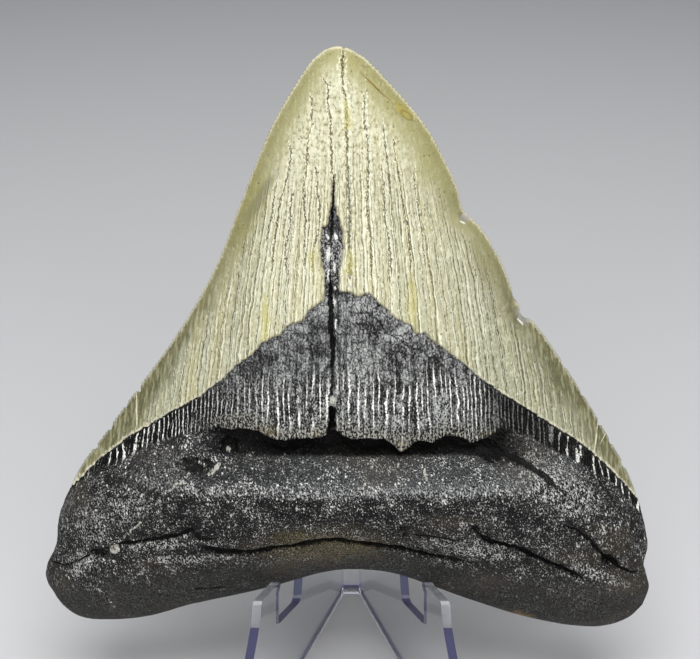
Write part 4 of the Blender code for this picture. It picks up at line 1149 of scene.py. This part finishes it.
def root_look(G, s):
    x, h, n, front, fine = s["x"], s["h"], s["n"], s["front"], s["fine"]
    stone = G.noise(G.vec(G.mul(x, 0.30), G.mul(h, 0.34), G.mul(n, 0.34)), 1.0, 3.0, 0.62)
    slant = G.add(x, G.mul(h, 0.22))
    fleck = G.noise(G.vec(G.mul(slant, 3.7), G.mul(h, 2.0), G.mul(n, 2.2)), 1.0, 1.0, 0.5)
    coarse = G.noise(G.vec(G.mul(slant, 0.95), G.add(G.mul(h, 0.60), 20.0), G.mul(n, 0.7)), 1.0, 1.0, 0.6)
    grit = G.noise(G.vec(G.mul(x, 4.3), G.add(G.mul(h, 3.5), 40.0), G.mul(n, 3.5)), 1.0, 1.0, 0.5)
    basal = G.step(G.add(h, G.mul(G.math("ABSOLUTE", x), 0.16), off(G, stone, 7.0)), 19.5, 13.5)
    basal = G.mul(basal, front)
    rich = G.step(stone, 0.34, 0.62)
    body = G.blend(rich, (0.009, 0.009, 0.009), (0.024, 0.024, 0.023))
    body = G.blend(basal, body, (0.032, 0.031, 0.029))
    # painted light: the upward-facing top of the torus, between crest and groove, is painted a lighter blue-grey
    slope = G.mul(G.step(G.add(h, off(G, stone, 3.0), off(G, grit, 1.2)), 27.2, 29.2),
                  G.step(G.math("ABSOLUTE", G.add(x, -2.0)), 48.0, 34.0), front, G.step(x, -20.0, 4.0, 0.36, 1.0))
    body = G.blend(G.mul(slope, G.step(h, 33.5, 28.5, 0.55, 0.95)), body, (0.072, 0.076, 0.078))
    calm = G.math("MAXIMUM", basal, G.mul(G.step(h, 27.5, 25.0), G.step(G.math("ABSOLUTE", G.add(x, -3.0)), 46.0, 30.0), 0.45))
    fewer = G.mul(G.step(x, -50.0, -24.0, 0.70, 1.0), G.step(x, 40.0, 52.0, 1.0, 0.60),
                  G.step(G.near(x, h, (-33.0, 30.0), (9.0, 4.0), 18.0), 0.4, 1.2, 0.55, 1.0),
                  G.step(G.near(x, h, (-13.0, 32.5), (9.0, 2.6), 0.0), 0.4, 1.2, 0.50, 1.0))
    # pale specks, streaks and flakes: partly the root's own pale grains, partly painted glints off the grainy surface
    speck = G.step(G.add(grit, off(G, stone, 0.26), off(G, coarse, 0.16)), 0.605, 0.69)
    body = G.blend(G.mul(speck, G.lerp(calm, 0.90, 0.18), fewer), body, (0.40, 0.40, 0.385))
    streaky = G.step(G.add(fleck, off(G, stone, 0.30), off(G, coarse, 0.24)), 0.640, 0.72)
    body = G.blend(G.mul(streaky, G.lerp(calm, 0.92, 0.10), fewer), body, (0.72, 0.72, 0.69))
    body = G.blend(G.mul(G.step(G.add(grit, off(G, fleck, 0.5)), 0.45, 0.34), 0.90), body, (0.004, 0.004, 0.004))
    cell = G.voronoi(G.vec(G.mul(slant, 1.7), G.mul(h, 0.90), G.mul(n, 1.1)))
    flake = G.mul(G.step(G.add(cell["Distance"], off(G, grit, 0.30)), 0.34, 0.20),
                  G.step(G.split(cell["Color"])[0], 0.91, 0.94))
    rootc = G.blend(G.mul(flake, G.lerp(calm, 0.95, 0.16)), body, (0.70, 0.70, 0.665))
    warm = G.step(G.noise(G.vec(G.mul(x, 0.05), G.mul(h, 0.10), 33.0), 1.0, 2.0, 0.5), 0.50, 0.68)
    rootc = G.blend(G.mul(warm, 0.30), rootc, (0.075, 0.060, 0.040))
    tint = G.step(G.add(G.near(x, h, (-5.0, 17.0), (13.0, 6.0), 0.0), off(G, stone, 0.9)), 1.2, 0.3)
    rootc = G.blend(G.mul(tint, G.step(grit, 0.40, 0.6), 0.75, front), rootc, (0.17, 0.14, 0.075))
    d = G.add(G.near(x, h, (31.6, 0.2), (2.6, 1.2), -20.0), off(G, fine, 2.6))
    rootc = G.blend(G.mul(G.step(d, 1.2, 0.3), 0.55, front), rootc, (0.30, 0.19, 0.07))
    # painted shade: the groove under the margin is painted near black where the overhang shades it, and the
    # upward-facing crest below it gets a painted highlight
    groove = G.mul(G.step(G.add(s["root"], off(G, stone, 1.6), off(G, fleck, 1.2), off(G, coarse, 1.4)), 5.6, 3.8),
                   G.step(G.math("ABSOLUTE", G.add(x, -2.0)), 31.0, 24.0), front)
    groove = G.mul(groove, G.step(G.add(h, off(G, stone, 0.9), off(G, fleck, 0.7), G.mul(G.step(x, 20.0, 27.0), 2.0)), 33.1, 33.7))
    rootc = G.blend(G.mul(groove, 0.97), rootc, (0.0015, 0.0015, 0.0015))
    # painted highlight on the crest of the torus, which faces the overhead light
    crest = G.mul(G.step(G.add(h, off(G, fleck, 1.2)), 27.3, 28.1), G.step(h, 30.6, 28.6),
                  G.step(G.math("ABSOLUTE", x), 38.0, 26.0), front)
    pick = G.step(G.add(G.mul(fleck, 0.65), G.mul(grit, 0.35), off(G, coarse, 0.25)), 0.47, 0.62)
    rootc = G.blend(G.mul(crest, pick, 0.62), rootc, (0.42, 0.42, 0.41))
    for at, radii, turn, amount in (((37.0, 27.0), (9.0, 3.4), -33.0, 0.80), ((-39.5, 24.0), (5.0, 3.6), 30.0, 0.42),
                                    ((-33.0, 30.5), (7.0, 2.2), 22.0, 0.22), ((-50.1, 10.0), (1.6, 1.0), 0.0, 0.90),
                                    ((-46.5, 12.4), (0.9, 1.4), -20.0, 0.95), ((-45.6, 7.0), (1.3, 0.35), -30.0, 0.90),
                                    ((-43.6, 4.6), (0.35, 1.8), 25.0, 0.80), ((-37.0, 11.5), (1.4, 0.5), 30.0, 0.70), ((20.0, 17.5), (9.0, 1.9), -12.0, 0.70),
                                    ((-48.0, 12.6), (4.0, 2.0), 20.0, 0.60), ((44.0, 10.4), (8.0, 1.2), -30.0, 0.70),
                                    ((-34.0, 17.4), (7.0, 1.2), 12.0, 0.75), ((24.0, 15.6), (6.0, 1.0), -8.0, 0.80),
                                    ((-46.0, 20.0), (4.0, 4.0), 0.0, 0.50), ((-28.0, 14.6), (8.0, 1.0), 3.0, 0.70)):
        d = G.add(G.near(x, h, at, radii, turn), off(G, stone, 1.6))
        rootc = G.blend(G.mul(G.step(d, 1.15, 0.45), pick, amount, front), rootc, (0.56, 0.56, 0.53))
    height = G.add(G.mul(stone, 0.50), G.mul(fleck, 0.24), G.mul(coarse, 0.24), G.mul(grit, 0.12))
    return rootc, 0.62, G.mul(height, G.lerp(basal, 1.0, 0.50))


def tooth_material(name, zones):
    """One look for the whole tooth. A material for faces inside one zone builds that zone
    only; faces near a boundary get all three, so the looks meet without a seam."""
    G = Graph(name)
    s = tooth_inputs(G)
    looks = {"enamel": enamel_look, "band": band_look, "root": root_look}
    made = [looks[z](G, s) for z in zones]
    colour, rough, height = made[-1]
    if len(zones) == 3:
        enamel = G.step(G.add(s["enamel"], off(G, s["fine"], 0.55)), -0.05, 0.07)
        root = G.step(G.add(s["root"], off(G, s["fine"], 1.2)), -0.2, 0.25)
        colour = G.blend(enamel, G.blend(root, made[1][0], made[2][0]), made[0][0])
        rough = G.lerp(enamel, G.lerp(root, made[1][1], made[2][1]), made[0][1])
        height = G.lerp(enamel, G.lerp(root, made[1][2], made[2][2]), made[0][2])
    # painted shade: near black in the cracks, pits and the slit
    black = G.step(G.add(G.attr("black"), off(G, s["fine"], 0.5)), 0.26, 0.62)
    colour = G.blend(G.mul(black, 0.94), colour, (0.006, 0.006, 0.006))
    if "enamel" not in zones or len(zones) == 3:
        pale = G.step(G.add(G.attr("pale"), off(G, s["grain"], 1.3)), 0.42, 0.80)
        colour = G.blend(G.mul(pale, G.step(s["fine"], 0.35, 0.6, 0.55, 0.95)), colour, (0.50, 0.49, 0.43))
    rough = G.math("MAXIMUM", G.add(rough, off(G, s["grain"], 0.25)), 0.18)
    G.surface(Base_Color=colour, Roughness=rough, Normal=G.bump(height), IOR=1.5, Specular_IOR_Level=0.10)
    return G.mat


def dress_tooth(tooth):
    """Give every face the material of its zone."""
    zones = [("tooth_enamel", ["enamel"]), ("tooth_bourlette", ["band"]), ("tooth_root", ["root"]),
             ("tooth_boundaries", ["enamel", "band", "root"])]
    for name, parts in zones:
        tooth.data.materials.append(tooth_material(name, parts))
    mesh = tooth.data
    corner = np.empty(len(mesh.polygons) * 3, np.int32)
    mesh.polygons.foreach_get("vertices", corner)
    corner = corner.reshape(-1, 3)

    def read(name):
        values = np.empty(len(mesh.vertices), np.float32)
        mesh.attributes[name].data.foreach_get("value", values)
        return values[corner]

    enamel, root = read("enamel"), read("root_in")
    slot = np.full(len(corner), 3, np.int32)
    slot[enamel.min(1) > 0.50] = 0
    out = enamel.max(1) < -0.50
    slot[out & (root.max(1) < -1.0)] = 1
    slot[out & (root.min(1) > 1.0)] = 2
    mesh.polygons.foreach_set("material_index", slot)
    mesh.update()
    print("faces a zone", np.bincount(slot, minlength=4).tolist())


def plastic(name, colour, roughness, transmission, level=0.5):
    G = Graph(name)
    G.surface(Base_Color=colour, Roughness=roughness, IOR=1.49, Transmission_Weight=transmission,
              Specular_IOR_Level=level)
    return G


# painted shade: the sheet's foot is darkened for the contact shadow where it stands on the ground
FOOT = 1.7                  # the lowest strip of the sheet shows dark against the ground


def dress_easel(mesh):
    """Clear sheet; its cut and moulded edges catch the light, pale at the lips and violet
    where one looks along the sheet."""
    bm = bmesh.new()
    bm.from_mesh(mesh)
    bmesh.ops.bisect_plane(bm, geom=bm.verts[:] + bm.edges[:] + bm.faces[:], dist=1e-7,
                           plane_co=(0.0, 0.0, FOOT * MM), plane_no=(0.0, 0.0, 1.0))
    bm.to_mesh(mesh)
    bm.free()
    clear = plastic("easel_clear_plastic", (0.985, 0.985, 1.0), 0.03, 1.0)
    vol = clear.tree.nodes.new("ShaderNodeVolumeAbsorption")
    vol.inputs["Color"].default_value = (0.42, 0.55, 0.95, 1.0)
    vol.inputs["Density"].default_value = 5.0
    clear.tree.links.new(vol.outputs[0], clear.out.inputs["Volume"])
    # easel_edge_pale paints the light that the lips and upper edges catch
    looks = [clear, plastic("easel_edge_pale", (0.42, 0.43, 0.46), 0.18, 0.60, 0.5),
             plastic("easel_edge_violet", (0.040, 0.039, 0.098), 0.45, 0.15, 0.12),
             plastic("easel_rest_violet", (0.13, 0.14, 0.25), 0.25, 0.35, 0.3),
             plastic("easel_foot_shade", (0.34, 0.35, 0.38), 0.06, 1.0)]
    for look in looks:
        mesh.materials.append(look.mat)
    for face in mesh.polygons:
        nx, ny, nz = face.normal
        cx, cy, cz = face.center
        x, d, z = cx / MM - SHIFT[0], SHIFT[1] - cy / MM, cz / MM
        slot = 0
        # painted shade along the foot of the sheet
        if z < FOOT:
            slot = 4
        elif abs(nx) < 0.1 and not (abs(ny) > 0.95 and abs(x) < 3.5):
            if d > 40.0:
                slot = 1 if z > 23.4 else 2
            elif d > 34.6 and z > 18.2:
                slot = 1
            else:
                slot = 3
        face.material_index = slot


def floor_material():
    G = Graph("floor_pale")
    G.surface(Base_Color=(0.60, 0.60, 0.61), Roughness=0.6)
    return G.mat

# ------------------------------------------------------------------ the pieces
tooth = build_tooth()
dress_tooth(tooth)
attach(tooth, "root")
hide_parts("tooth")

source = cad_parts["easel"]
mesh = source.data.copy()
mesh.name = "easel_clear"
easel = bpy.data.objects.new("easel_clear", mesh)
bpy.context.scene.collection.objects.link(easel)
easel.matrix_world = source.matrix_world.copy()
soft = easel.modifiers.new("soften", "BEVEL")
soft.width = 0.3 * MM
soft.segments = 2
soft.limit_method = "ANGLE"
soft.angle_limit = math.radians(25.0)
easel.data.materials.clear()
dress_easel(mesh)
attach(easel, "root")
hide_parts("easel")

# ----------------------------------------------------------- floor and lights
def plane(name, size, at):
    s = 0.5 * size
    m = bpy.data.meshes.new(name)
    m.from_pydata([(-s, -s, 0), (s, -s, 0), (s, s, 0), (-s, s, 0)], [], [(0, 1, 2, 3)])
    o = bpy.data.objects.new(name, m)
    o.location = at
    bpy.context.scene.collection.objects.link(o)
    return o


floor = plane("floor", 14.0, (0.0, 4.0, -0.00002))
floor.data.materials.append(floor_material())


def area(name, size, at, towards, watts, colour=(1.0, 1.0, 1.0)):
    from mathutils import Vector
    lamp = bpy.data.lights.new(name, "AREA")
    lamp.shape = "RECTANGLE"
    lamp.size, lamp.size_y = size
    lamp.energy = watts
    lamp.color = colour
    o = bpy.data.objects.new(name, lamp)
    o.location = at
    o.rotation_euler = (Vector(towards) - Vector(at)).to_track_quat("-Z", "Y").to_euler()
    bpy.context.scene.collection.objects.link(o)
    return o


area("overhead", (0.75, 0.55), (0.0, -0.26, 0.80), (0.0, 0.0, 0.05), 7.0)
area("front_fill", (0.9, 0.3), (0.0, -0.78, 0.46), (0.0, 0.0, 0.02), 5.0)
area("rear_fill", (0.9, 0.35), (0.0, 0.80, 0.55), (0.0, 0.0, 0.03), 0.8, (0.92, 0.95, 1.0))

world = bpy.data.worlds.new("studio")
world.use_nodes = True
world.node_tree.nodes["Background"].inputs["Color"].default_value = (0.80, 0.82, 0.85, 1.0)
world.node_tree.nodes["Background"].inputs["Strength"].default_value = 0.16
bpy.context.scene.world = world
bpy.context.scene.view_settings.view_transform = "Standard"

camera_data = bpy.data.cameras.new("camera")
camera_data.lens = 72.0
camera_data.sensor_width = 36.0
camera_data.clip_start = 0.01
camera_data.clip_end = 50.0
camera = bpy.data.objects.new("camera", camera_data)
camera.location = (0.000733, -0.21585, 0.1716)
camera.rotation_euler = (math.radians(66.0), 0.0, math.radians(0.0614))
bpy.context.scene.collection.objects.link(camera)
bpy.context.scene.camera = camera

bpy.context.view_layer.update()
